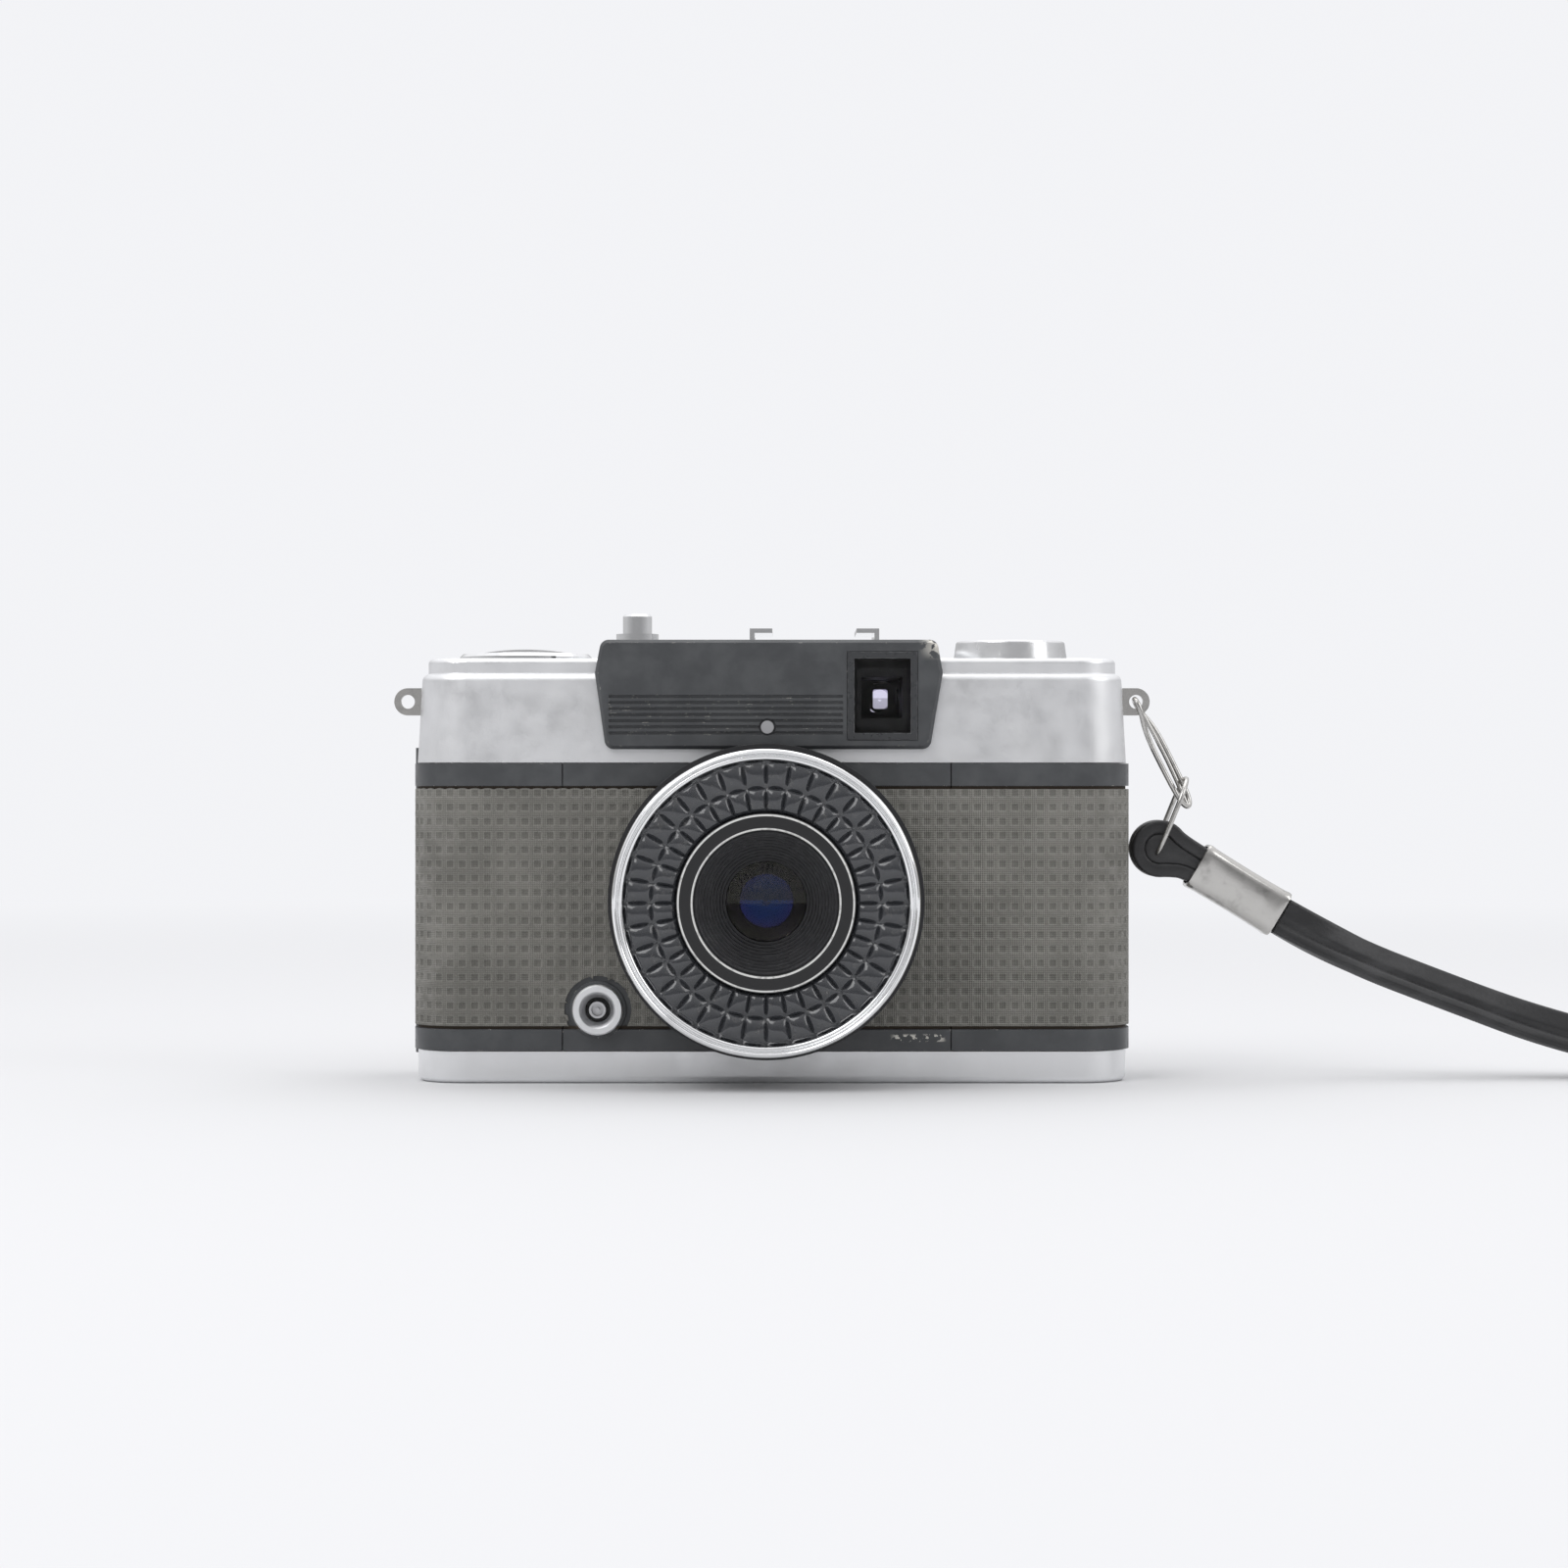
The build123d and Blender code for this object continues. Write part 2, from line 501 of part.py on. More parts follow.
def inner_barrel():
    """Stepped funnel from the name ring to the front lens."""
    part = lens_ring(NAME_IN_R - 0.02, 6.2, -22.9, -13.4)
    steps = 6
    for i in range(steps):
        radius = NAME_IN_R - 0.5 - i * (NAME_IN_R - 7.0) / steps
        part -= rod_y(LENS_X, LENS_Z, radius, -24, -22.2 + i * 1.2)
    part += lens_ring(17.4, NAME_IN_R - 0.5, -16.0, -14.6)
    return part


def front_lens():
    """Front lens group."""
    return lens_form(LENS_X, LENS_Z, 6.1, -14.9, -12.2, 1.5)


def rear_lens():
    """Rear lens group."""
    return lens_form(LENS_X, LENS_Z, 4.9, -4.5, 1.5, 0.8)


def shutter_housing():
    """Leaf shutter housing with the blades' flat room."""
    part = rod_y(LENS_X, LENS_Z, 17.4, -12.1, 1.0)
    part -= rod_y(LENS_X, LENS_Z, 4.0, -20, 10)
    part -= rod_y(LENS_X, LENS_Z, 16.2, -10.9, -9.9)
    part -= rod_y(LENS_X, LENS_Z, 4.95, -5.0, 10)
    part -= rod_y(LENS_X, LENS_Z, 6.7, -20, -12.05)
    for side in (-1, 1):
        part += rod_y(LENS_X + 10 * side, LENS_Z, 0.6, -11.2, -9.7)
    return part


def shutter_blade(side):
    """One shutter blade, a round leaf on an arm with a pivot hole."""
    y0 = -10.8 if side > 0 else -10.3
    pivot_x = LENS_X + 10 * side
    leaf = rod_y(LENS_X, LENS_Z, 5.0, y0, y0 + 0.2)
    low, high = sorted((LENS_X, pivot_x))
    part = leaf + block(low, high, y0, y0 + 0.2, LENS_Z - 1.5, LENS_Z + 1.5)
    part += rod_y(pivot_x, LENS_Z, 1.5, y0, y0 + 0.2)
    return part - rod_y(pivot_x, LENS_Z, 0.6 + FIT, -12, -9)


def meter_movement():
    """Galvanometer of the light meter, under the top cover."""
    part = rod_y(-6.0, 57.0, 4.4, 4.0, 14.0) + block(-11.5, -0.5, 6.0, 12.0, DECK_Z + 0.02, 57.0)
    return part


# ---------------------------------------------------------------- top controls
def counter_bezel():
    """Chromed ring round the frame counter."""
    part = rod_z(COUNTER_X, COUNTER_Y, COUNTER_R, PLATE_TOP, PLATE_TOP + 1.0)
    part = chamfer(part.faces().sort_by(Axis.Z)[-1].edges(), 0.5)
    part += rod_z(COUNTER_X, COUNTER_Y, 8.55, 64.9, PLATE_TOP + 0.5)
    return part - rod_z(COUNTER_X, COUNTER_Y, 8.0, 60, 70)


def counter_window():
    """Clear domed window of the frame counter."""
    dome = Pos(COUNTER_X, COUNTER_Y, 67.9 - 40.0) * Sphere(40.0)
    return rod_z(COUNTER_X, COUNTER_Y, 7.95, 66.0, 68.5) & dome


def counter_dial():
    """Numbered disc of the frame counter, on a short tube."""
    part = rod_z(COUNTER_X, COUNTER_Y, 7.7, 64.6, 65.1)
    part += rod_z(COUNTER_X, COUNTER_Y, 1.6, 62.4, 64.7)
    return part - rod_z(COUNTER_X, COUNTER_Y, 0.8 + FIT, 60, 64.4)


def counter_post():
    """Post that the counter's dial turns on, in a bridge that stands on the deck."""
    part = block(COUNTER_X - 3, COUNTER_X + 3, COUNTER_Y - 2, COUNTER_Y + 2, 60.9, 62.3)
    part += rod_z(COUNTER_X, COUNTER_Y, 0.8, 62, 64.3)
    leg = COUNTER_X - 13.6
    part += block(leg, COUNTER_X - 3, COUNTER_Y - 2, COUNTER_Y + 2, 60.9, 61.9)
    return part + block(leg, leg + 1.8, COUNTER_Y - 2, COUNTER_Y + 2, DECK_Z + 0.02, 61.9)


def release_button():
    """Shutter button with a cable release thread."""
    part = rod_z(BUTTON_X, BUTTON_Y, BUTTON_R, 62.0, BUTTON_TOP)
    part = chamfer(part.faces().sort_by(Axis.Z)[-1].edges(), 0.35)
    part += rod_z(BUTTON_X, BUTTON_Y, 3.2, 62.0, 63.0)
    part += rod_z(BUTTON_X, BUTTON_Y, 1.0, 51.2, 62.5)
    return part - rod_z(BUTTON_X, BUTTON_Y, 1.25, BUTTON_TOP - 4.0, 80)


def release_collar():
    """Chromed collar that guides the button."""
    part = rod_z(BUTTON_X, BUTTON_Y, 3.35, HUMP_TOP - 0.35, 70.2)
    part += rod_z(BUTTON_X, BUTTON_Y, 2.68, 65.2, 69)
    return part - rod_z(BUTTON_X, BUTTON_Y, BUTTON_R + FIT, 60, 80)


def release_spring():
    """Return spring of the button."""
    helix = Helix(pitch=1.9, height=12.8, radius=1.7, center=(BUTTON_X, BUTTON_Y, SPRING_LOW + 0.26))
    start = helix @ 0
    profile = Plane(origin=start, z_dir=helix % 0) * Circle(0.25)
    return sweep(profile, path=helix, is_frenet=True)


def rewind_knob():
    """Rewind knob with its shaft and the fork that turns the cassette's spool."""
    z0, z1 = KNOB_Z
    part = Pos(KNOB_X, KNOB_Y, (z0 + z1) / 2) * Cone(KNOB_R, KNOB_R - 0.4, z1 - z0)
    part = fillet(part.faces().sort_by(Axis.Z)[-1].edges(), 0.4)
    part -= block(KNOB_X - 2.6, KNOB_X + 2.6, KNOB_Y - 7.3, KNOB_Y + 9.5, z1 - 1.4, z1 + 1)
    part += rod_z(KNOB_X, KNOB_Y, 2.5, 46.2, z0 + 0.5)
    return part - block(KNOB_X - 0.9, KNOB_X + 0.9, KNOB_Y - 4, KNOB_Y + 4, 46, 49.5)


def rewind_crank():
    """Folding crank, lying in the knob's slot."""
    z1 = KNOB_Z[1]
    part = block(KNOB_X - 2.2, KNOB_X + 2.2, KNOB_Y - 5.6, KNOB_Y + 8.2, z1 - 1.2, z1 - 0.35)
    part = fillet(vertical_edges(part, 0.5).sort_by(Axis.Y)[-2:], 2.0)
    part += rod_x(KNOB_Y - 6.0, z1 - 0.75, 0.6, KNOB_X - 2.2, KNOB_X + 2.2)
    part += rod_z(KNOB_X, KNOB_Y + 6.0, 1.3, z1 - 0.4, z1 - 0.05)
    return part


def thumbwheel():
    """Advance wheel, reached at the back, with its hub."""
    z0, z1 = WHEEL_Z
    part = rod_z(WHEEL_X, WHEEL_Y, WHEEL_R, z0, z1)
    flutes = 60
    for i in range(flutes):
        angle = math.radians(360 * (i + 0.5) / flutes)
        x = WHEEL_X + (WHEEL_R + 0.25) * math.cos(angle)
        y = WHEEL_Y + (WHEEL_R + 0.25) * math.sin(angle)
        part -= rod_z(x, y, 0.5, z0 - 1, z1 + 1)
    part += rod_z(WHEEL_X, WHEEL_Y, 5.0, z1 - 0.1, z1 + 1.6)
    return part - rod_z(WHEEL_X, WHEEL_Y, 1.5 + FIT, 40, 70)


def wheel_post():
    """Fixed post of the advance wheel, on a foot screwed to the deck."""
    part = rod_z(WHEEL_X, WHEEL_Y, 1.5, DECK_Z + 0.5, WHEEL_Z[1] + 1.9)
    return part + rod_z(WHEEL_X, WHEEL_Y, 4.0, DECK_Z + 0.02, DECK_Z + 1.6)


def deck_posts():
    """The posts of the counter and of the advance wheel."""
    return Compound(children=[Part(counter_post().wrapped), Part(wheel_post().wrapped)])


def sprocket():
    """Film sprocket with two rows of teeth on its shaft."""
    x, y = SPROCKET_X, SPROCKET_Y
    part = rod_z(x, y, 3.6, 9.0, 47.0) + rod_z(x, y, 1.5, 6.6, 60.0)
    for z in (LENS_Z - 14.1, LENS_Z + 14.1):
        part += rod_z(x, y, SPROCKET_R, z - 1.6, z + 1.6)
        for i in range(8):
            tooth = Rot(0, 0, 45 * i + 22.5) * Pos(SPROCKET_R + 0.3, 0, 0) * Cone(0.9, 0.45, 1.0, rotation=(0, 90, 0))
            part += Pos(x, y, z) * tooth
    return part


def takeup_spool():
    """Take-up spool with two film slots, on its shaft."""
    x, y = SPOOL_X, SPOOL_Y
    part = rod_z(x, y, 5.5, 11.0, 46.0) + rod_z(x, y, 7.5, 9.0, 10.2) + rod_z(x, y, 7.5, 46.4, 47.4)
    part += rod_z(x, y, 1.5, 6.6, 49.6) + rod_z(x, y, 3.0, 9.5, 47)
    for i in range(3):
        cut = Rot(0, 0, 120 * i) * block(3.4, 8, -0.8, 0.8, 13.0, 44.0)
        part -= Pos(x, y, 0) * cut
    return part


def rewind_release():
    """Rewind release button in the bottom cover."""
    part = rod_z(RELEASE_X, RELEASE_Y, RELEASE_R, 0.25, 6.5)
    return part - Pos(RELEASE_X, RELEASE_Y, -3.0) * Sphere(3.7)


# ---------------------------------------------------------------- back door
def back_door():
    """Back door: a tray hinged at one end, with the middle hinge knuckle."""
    t = 1.2
    z0, z1 = BASE_TOP + 0.25, DECK_Z - 0.25
    part = slab(BODY_HALF - 0.1, DOOR_SPLIT + 0.1, BODY_REAR, 0, REAR_RADIUS, z0, z1)
    part -= slab(BODY_HALF - 0.1 - t, DOOR_SPLIT - 1, BODY_REAR - t, 0, REAR_RADIUS - t, z0 + t, z1 - t)
    part -= slab(BODY_HALF - LEATHER_T, 17.0, 30, 0, 0, *LEATHER_Z) - slab(
        BODY_HALF - LEATHER_T - 0.1, 10, BODY_REAR - LEATHER_T, 0, REAR_RADIUS - LEATHER_T, *LEATHER_Z)
    part -= hinge_room(HINGE_R + 0.25)
    knuckle = rod_z(HINGE_X, HINGE_Y, HINGE_R, HINGE_Z[1] + 0.1, HINGE_Z[2] - 0.1)
    knuckle += block(HINGE_X, HINGE_X + 1.1, HINGE_Y + 0.2, HINGE_Y + 2.2, HINGE_Z[1] + 0.1, HINGE_Z[2] - 0.1)
    part += knuckle
    part -= rod_z(HINGE_X, HINGE_Y, HINGE_PIN_R + FIT, 0, 60)
    part -= rod_z(KNOB_X, KNOB_Y, CASSETTE_R + 0.3, 3, CASSETTE_Z[1])
    part -= rod_z(KNOB_X, KNOB_Y, CASSETTE_R + 1.3, DECK_Z - 1, 60)
    return part - block(54, 60, 16.0, 19.0, 29, 39)


def leatherette_back():
    """Leatherette on the door's back."""
    z0, z1 = LEATHER_Z
    half = 52.0
    return block(-half, half, BODY_REAR - LEATHER_T + 0.02, BODY_REAR, z0, z1)


def pressure_plate():
    """Film pressure plate."""
    part = block(-17, 16, FILM_PLANE + 0.4, FILM_PLANE + 1.2, LENS_Z - 16.5, LENS_Z + 16.5)
    return fillet(part.edges().filter_by(Axis.Y), 1.5)


def pressure_spring():
    """Bowed leaf spring between the door and the pressure plate."""
    x = LENS_X
    y_plate, y_door = FILM_PLANE + 1.25, BODY_REAR - 1.75
    part = block(x - 8, x + 8, y_door - 0.3, y_door, LENS_Z - 3, LENS_Z + 3)
    for side in (-1, 1):
        x0, x1 = x + side * 7.6, x + side * 13.5
        face = make_face(Polyline((x0, y_door - 0.3), (x0, y_door), (x1, y_plate + 0.3), (x1, y_plate), close=True))
        part += Pos(0, 0, LENS_Z - 3) * extrude(face, 6)
    return part


def hinge_brackets():
    """The two fixed knuckles of the door hinge."""
    parts = []
    for z0, z1 in ((HINGE_Z[0], HINGE_Z[1]), (HINGE_Z[2], HINGE_Z[3])):
        knuckle = rod_z(HINGE_X, HINGE_Y, HINGE_R, z0, z1)
        knuckle += block(HINGE_X + 0.1, HINGE_X + 2.0, HINGE_Y - 1.6, HINGE_Y - 0.2, z0, z1)
        parts.append(knuckle - rod_z(HINGE_X, HINGE_Y, HINGE_PIN_R, 0, 60))
    return Compound(children=[Part(s.wrapped) for s in parts])


def hinge_pin():
    """Pin through the three knuckles."""
    return rod_z(HINGE_X, HINGE_Y, HINGE_PIN_R, HINGE_Z[0] - 0.1, HINGE_Z[3] + 0.1)


def door_latch():
    """Sliding latch at the door's free end."""
    part = block(56.05, 56.65, 15.2, 20.0, 26.0, 42.0)
    part = fillet(part.edges().filter_by(Axis.X), 0.8)
    for i in range(5):
        z = 31.0 + i * 1.5
        part -= block(56.4, 57, 15, 21, z - 0.3, z + 0.3)
    return part + block(54.5, 56.1, 16.4, 18.6, 32.0, 36.0)


# ---------------------------------------------------------------- wrist strap
def along(a, b):
    """Length and slope in degrees of the line from a to b in the X, Z plane."""
    dx, dz = b[0] - a[0], b[1] - a[1]
    return math.hypot(dx, dz), math.degrees(math.atan2(dz, dx))


def lying(a, angle, part):
    """Place a part made along +X at the X, Z point a, turned by angle in the X, Z plane."""
    return Pos(a[0], LUG_Y, a[1]) * Rot(0, -angle, 0) * part


def wire_loop(length, width, radius):
    """A closed oblong loop of wire in the local X, Y plane, from X = 0 to X = length."""
    path = FilletPolyline((0, -width / 2, 0), (length, -width / 2, 0), (length, width / 2, 0),
                          (0, width / 2, 0), radius=width * 0.45, close=True)
    section = Plane(origin=path @ 0, z_dir=path % 0) * Circle(radius)
    return sweep(section, path=path)


def strap_hook():
    """Wire hook through the right lug."""
    length, angle = along((LUG_X, LUG_Z), HOOK_LOW)
    return lying((LUG_X - 0.2, LUG_Z + 0.3), angle, wire_loop(length, 3.6, 0.42))


def strap_link():
    """Wire link between the hook and the strap."""
    length, angle = along(LINK_LOW, LINK_HIGH)
    return lying(LINK_LOW, angle, wire_loop(length, 9.0, 0.4))


def strap_end_loop():
    """Strap folded round the link and held in the ferrule."""
    thick = 2 * STRAP_T + STRAP_GAP
    length, angle = along(FERRULE_FROM, FERRULE_TO)
    straight = Pos(length / 2 - 0.6, 0, 0) * Box(length + 1.2, STRAP_W, thick)
    outer_r, reach, fold_angle = 4.4, 6.4, -23.4
    outer = make_hull((Pos(-reach, 0) * Circle(outer_r)).edges() + (Pos(-0.9, 0) * Rectangle(0.6, thick)).edges())
    inner = make_hull((Pos(-reach, 0) * Circle(outer_r - STRAP_T)).edges() + (Pos(-2.4, 0) * Circle(0.2)).edges())
    fold = Rot(90, 0, 0) * extrude(outer - inner, STRAP_W / 2, both=True)
    return lying(FERRULE_FROM, angle, straight) + lying(FERRULE_FROM, fold_angle, fold)


def strap_ferrule():
    """Crimped metal tube over the two runs of strap."""
    thick = 2 * STRAP_T + STRAP_GAP
    length, angle = along(FERRULE_FROM, FERRULE_TO)
    wall, gap = 0.55, 0.06
    part = Pos(length / 2, 0, 0) * Box(length, STRAP_W + 2 * (wall + gap), thick + 2 * (wall + gap))
    part = fillet(part.edges().filter_by(Axis.X), 1.6)
    part -= Pos(length / 2, 0, 0) * Box(length + 2, STRAP_W + 2 * gap, thick + 2 * gap)
    return lying(FERRULE_FROM, angle, part)


STRAP_SIDE = (STRAP_T + STRAP_GAP) / 2
STRAP_ROUTE = (
    (80.5, LUG_Y - STRAP_SIDE, 25.6),
    (90.0, 4.7, 20.1),
    (106.0, 4.6, 13.9),
    (122.0, 4.2, 8.0),
    (138.0, 2.4, 4.2),
    (156.0, -3.0, 3.3),
    (176.0, -10.5, 3.3),
    (195.5, -15.3, 3.3),
    (214.3, -15.5, 3.3),
    (226.0, -3.8, 3.3),
    (226.0, 12.8, 3.3),
    (214.3, 24.5, 3.3),
    (195.5, 24.2, 3.3),
    (176.0, 19.6, 3.3),
    (156.0, 13.4, 3.3),
    (138.0, 9.4, 4.2),
    (122.0, 7.8, 8.0),
    (106.0, 7.4, 13.9),
    (90.0, 7.3, 20.1),
    (80.5, LUG_Y + STRAP_SIDE, 25.6),
)


def corner_radii(route):
    """The largest arc that each corner's two runs allow."""
    points = [Vector(*p) for p in route]
    radii = []
    for a, b, c in zip(points, points[1:], points[2:]):
        turn = (b - a).get_angle(c - b)
        run = min((b - a).length, (c - b).length)
        radii.append(0.45 * run / math.tan(math.radians(turn) / 2))
    return radii


def wrist_strap():
    """The strap's free loop, from the ferrule out, round and back."""
    radii = corner_radii(STRAP_ROUTE)
    path = FilletPolyline(*STRAP_ROUTE, radius=radii)
    section = Plane(origin=path @ 0, x_dir=(0, 1, 0), z_dir=path % 0) * Rectangle(STRAP_T, STRAP_W)
    part = sweep(section, path=path)
    share = part.volume / (STRAP_T * STRAP_W * path.length)
    print("strap length", round(path.length, 1), "radii", [round(r, 1) for r in radii], "volume share", round(share, 3))
    return part


# ---------------------------------------------------------------- all nodes
NODES = {
    "body_casting": body_casting, "front_plate": front_plate, "leatherette_front": leatherette_front,
    "top_cover": top_cover, "bottom_cover": bottom_cover, "name_panel": name_panel, "panel_screw": panel_screw,
    "base_screws": base_screws, "tripod_socket": tripod_socket, "strap_lugs": strap_lugs,
    "window_frame": window_frame, "finder_tunnel": finder_tunnel,
    "finder_lens": finder_lens, "eyepiece_lens": eyepiece_lens, "eyepiece_frame": eyepiece_frame,
    "accessory_shoe": accessory_shoe, "shoe_screws": shoe_screws, "shoe_insulator": shoe_insulator,
    "shoe_contact": shoe_contact, "flash_socket": flash_socket, "flash_insulator": flash_insulator,
    "flash_pin": flash_pin, "lens_barrel": lens_barrel, "speed_ring": speed_ring, "bezel_ring": bezel_ring,
    "light_cell": light_cell, "lenslet_window": lenslet_window, "lens_name_ring": lens_name_ring,
    "inner_barrel": inner_barrel, "front_lens": front_lens, "rear_lens": rear_lens,
    "shutter_housing": shutter_housing, "shutter_blade_a": lambda: shutter_blade(1),
    "shutter_blade_b": lambda: shutter_blade(-1), "meter_movement": meter_movement,
    "counter_bezel": counter_bezel, "counter_window": counter_window, "counter_dial": counter_dial,
    "deck_posts": deck_posts, "release_button": release_button, "release_collar": release_collar,
    "release_spring": release_spring, "rewind_knob": rewind_knob, "rewind_crank": rewind_crank,
    "thumbwheel": thumbwheel, "sprocket": sprocket, "takeup_spool": takeup_spool,
    "rewind_release": rewind_release, "back_door": back_door, "leatherette_back": leatherette_back,
    "pressure_plate": pressure_plate, "pressure_spring": pressure_spring, "hinge_brackets": hinge_brackets,
    "hinge_pin": hinge_pin, "door_latch": door_latch, "strap_hook": strap_hook, "strap_link": strap_link,
    "strap_end_loop": strap_end_loop, "strap_ferrule": strap_ferrule, "wrist_strap": wrist_strap,
}


def main():
    """Write one file per node."""
    os.makedirs("parts", exist_ok=True)
    for name, make in NODES.items():
        export_step(make(), f"parts/{name}.step")


main()
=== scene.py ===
"""Looks of the half frame camera: camera, soft studio, detailed pieces and their materials.

Everything is in metres in the CAD frame; MM turns millimetres into metres.
"""

import math

import bmesh
import bpy
import numpy as np
from mathutils import Matrix, Vector


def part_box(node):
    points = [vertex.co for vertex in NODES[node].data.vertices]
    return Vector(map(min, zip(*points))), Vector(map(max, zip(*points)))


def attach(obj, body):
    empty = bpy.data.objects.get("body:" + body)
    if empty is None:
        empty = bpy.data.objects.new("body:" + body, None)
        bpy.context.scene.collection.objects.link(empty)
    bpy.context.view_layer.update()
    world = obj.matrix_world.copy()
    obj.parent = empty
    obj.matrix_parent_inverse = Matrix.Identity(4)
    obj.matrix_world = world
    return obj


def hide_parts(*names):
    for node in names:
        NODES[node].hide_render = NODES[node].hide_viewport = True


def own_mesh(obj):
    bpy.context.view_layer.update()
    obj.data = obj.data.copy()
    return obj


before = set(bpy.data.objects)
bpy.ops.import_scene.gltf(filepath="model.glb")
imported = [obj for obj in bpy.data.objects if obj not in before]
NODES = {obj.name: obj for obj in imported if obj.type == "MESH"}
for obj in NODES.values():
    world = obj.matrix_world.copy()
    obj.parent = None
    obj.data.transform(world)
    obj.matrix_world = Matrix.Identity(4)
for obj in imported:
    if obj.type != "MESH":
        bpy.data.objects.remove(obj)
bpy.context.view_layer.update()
MM = 0.001
BACKDROP = (0.895, 0.90, 0.925, 1)
CAMERA_AT = (0.0019, -0.5655, 0.0465)
FOCAL_MM, SENSOR_MM = 82.86, 36.0
FLOOR_REACH = 30.0
FLOOR_FADE = (0.12, 0.9)


# ---------------------------------------------------------------- camera, stage and light
def add_camera():
    """Level camera in front of the body, a little below the top of the lens's bezel."""
    data = bpy.data.cameras.new("view")
    data.lens = FOCAL_MM
    data.sensor_width = SENSOR_MM
    data.clip_start = 0.01
    view = bpy.data.objects.new("view", data)
    bpy.context.scene.collection.objects.link(view)
    view.location = CAMERA_AT
    view.rotation_euler = (math.radians(90), 0, 0)
    bpy.context.scene.camera = view


def add_area(name, place, target, size, power, tint=(1, 1, 1)):
    """Square soft light at place, turned towards target."""
    data = bpy.data.lights.new(name, "AREA")
    data.size = size
    data.energy = power
    data.color = tint
    lamp = bpy.data.objects.new(name, data)
    bpy.context.scene.collection.objects.link(lamp)
    lamp.location = place
    lamp.rotation_euler = (Vector(target) - Vector(place)).to_track_quat("-Z", "Y").to_euler()


def add_stage():
    """Pale floor whose paint fades to the backdrop's tone away from the object."""
    mesh = bpy.data.meshes.new("floor")
    corners = [(x * FLOOR_REACH, y * FLOOR_REACH, 0) for x, y in ((-1, -1), (1, -1), (1, 1), (-1, 1))]
    mesh.from_pydata(corners, [], [(0, 1, 2, 3)])
    floor = bpy.data.objects.new("floor", mesh)
    bpy.context.scene.collection.objects.link(floor)
    paint = bpy.data.materials.new("floor_paper")
    paint.use_nodes = True
    shader = paint.node_tree.nodes["Principled BSDF"]
    shader.inputs["Base Color"].default_value = (0.70, 0.703, 0.712, 1)
    shader.inputs["Roughness"].default_value = 0.9
    shader.inputs["Specular IOR Level"].default_value = 0.1
    nodes, links = paint.node_tree.nodes, paint.node_tree.links
    where = nodes.new("ShaderNodeTexCoord")
    away = nodes.new("ShaderNodeVectorMath")
    away.operation = "LENGTH"
    fade = nodes.new("ShaderNodeMapRange")
    fade.interpolation_type = "SMOOTHSTEP"
    fade.inputs["From Min"].default_value = FLOOR_FADE[0]
    fade.inputs["From Max"].default_value = FLOOR_FADE[1]
    far = nodes.new("ShaderNodeEmission")
    far.inputs["Color"].default_value = BACKDROP
    both = nodes.new("ShaderNodeMixShader")
    links.new(where.outputs["Object"], away.inputs[0])
    links.new(away.outputs["Value"], fade.inputs["Value"])
    links.new(fade.outputs[0], both.inputs[0])
    links.new(shader.outputs[0], both.inputs[1])
    links.new(far.outputs[0], both.inputs[2])
    links.new(both.outputs[0], nodes["Material Output"].inputs["Surface"])
    mesh.materials.append(paint)


def add_world():
    """Room light graded by direction. The camera itself sees only the flat backdrop tone."""
    world = bpy.data.worlds.new("room")
    bpy.context.scene.world = world
    world.use_nodes = True
    nodes, links = world.node_tree.nodes, world.node_tree.links
    nodes.clear()
    out = nodes.new("ShaderNodeOutputWorld")
    seen = nodes.new("ShaderNodeBackground")
    seen.inputs["Color"].default_value = BACKDROP
    around = nodes.new("ShaderNodeBackground")
    direction = nodes.new("ShaderNodeTexCoord")
    axes = nodes.new("ShaderNodeSeparateXYZ")
    links.new(direction.outputs["Generated"], axes.inputs[0])
    height = nodes.new("ShaderNodeValToRGB")
    stops = ((0.0, 0.75), (0.47, 0.62), (0.56, 0.5), (0.7, 0.95), (1.0, 1.15))
    ramp = height.color_ramp
    ramp.elements[0].position, ramp.elements[1].position = stops[0][0], stops[-1][0]
    for place, _ in stops[1:-1]:
        ramp.elements.new(place)
    for element, (_, level) in zip(ramp.elements, stops):
        element.color = (level, level, level * 1.02, 1)
    lift = nodes.new("ShaderNodeMath")
    lift.operation = "MULTIPLY_ADD"
    lift.inputs[1].default_value = 0.5
    lift.inputs[2].default_value = 0.5
    links.new(axes.outputs["Z"], lift.inputs[0])
    links.new(lift.outputs[0], height.inputs[0])
    depth = nodes.new("ShaderNodeMapRange")
    depth.inputs["From Min"].default_value = -0.9
    depth.inputs["From Max"].default_value = 0.1
    depth.inputs["To Min"].default_value = 0.56
    depth.inputs["To Max"].default_value = 1.0
    links.new(axes.outputs["Y"], depth.inputs[0])
    links.new(height.outputs[0], around.inputs["Color"])
    links.new(depth.outputs[0], around.inputs["Strength"])
    path = nodes.new("ShaderNodeLightPath")
    choose = nodes.new("ShaderNodeMixShader")
    links.new(path.outputs["Is Camera Ray"], choose.inputs[0])
    links.new(around.outputs[0], choose.inputs[1])
    links.new(seen.outputs[0], choose.inputs[2])
    links.new(choose.outputs[0], out.inputs[0])


add_camera()
add_stage()
add_world()
add_area("key", (-0.45, -0.55, 0.75), (0, 0, 0.03), 0.55, 2.5)
add_area("fill", (0.75, -0.35, 0.45), (0.03, 0, 0.03), 0.45, 1.1)
add_area("top", (0.05, 0.25, 0.9), (0, 0, 0), 0.8, 2.2)
bpy.context.scene.view_settings.view_transform = "Standard"


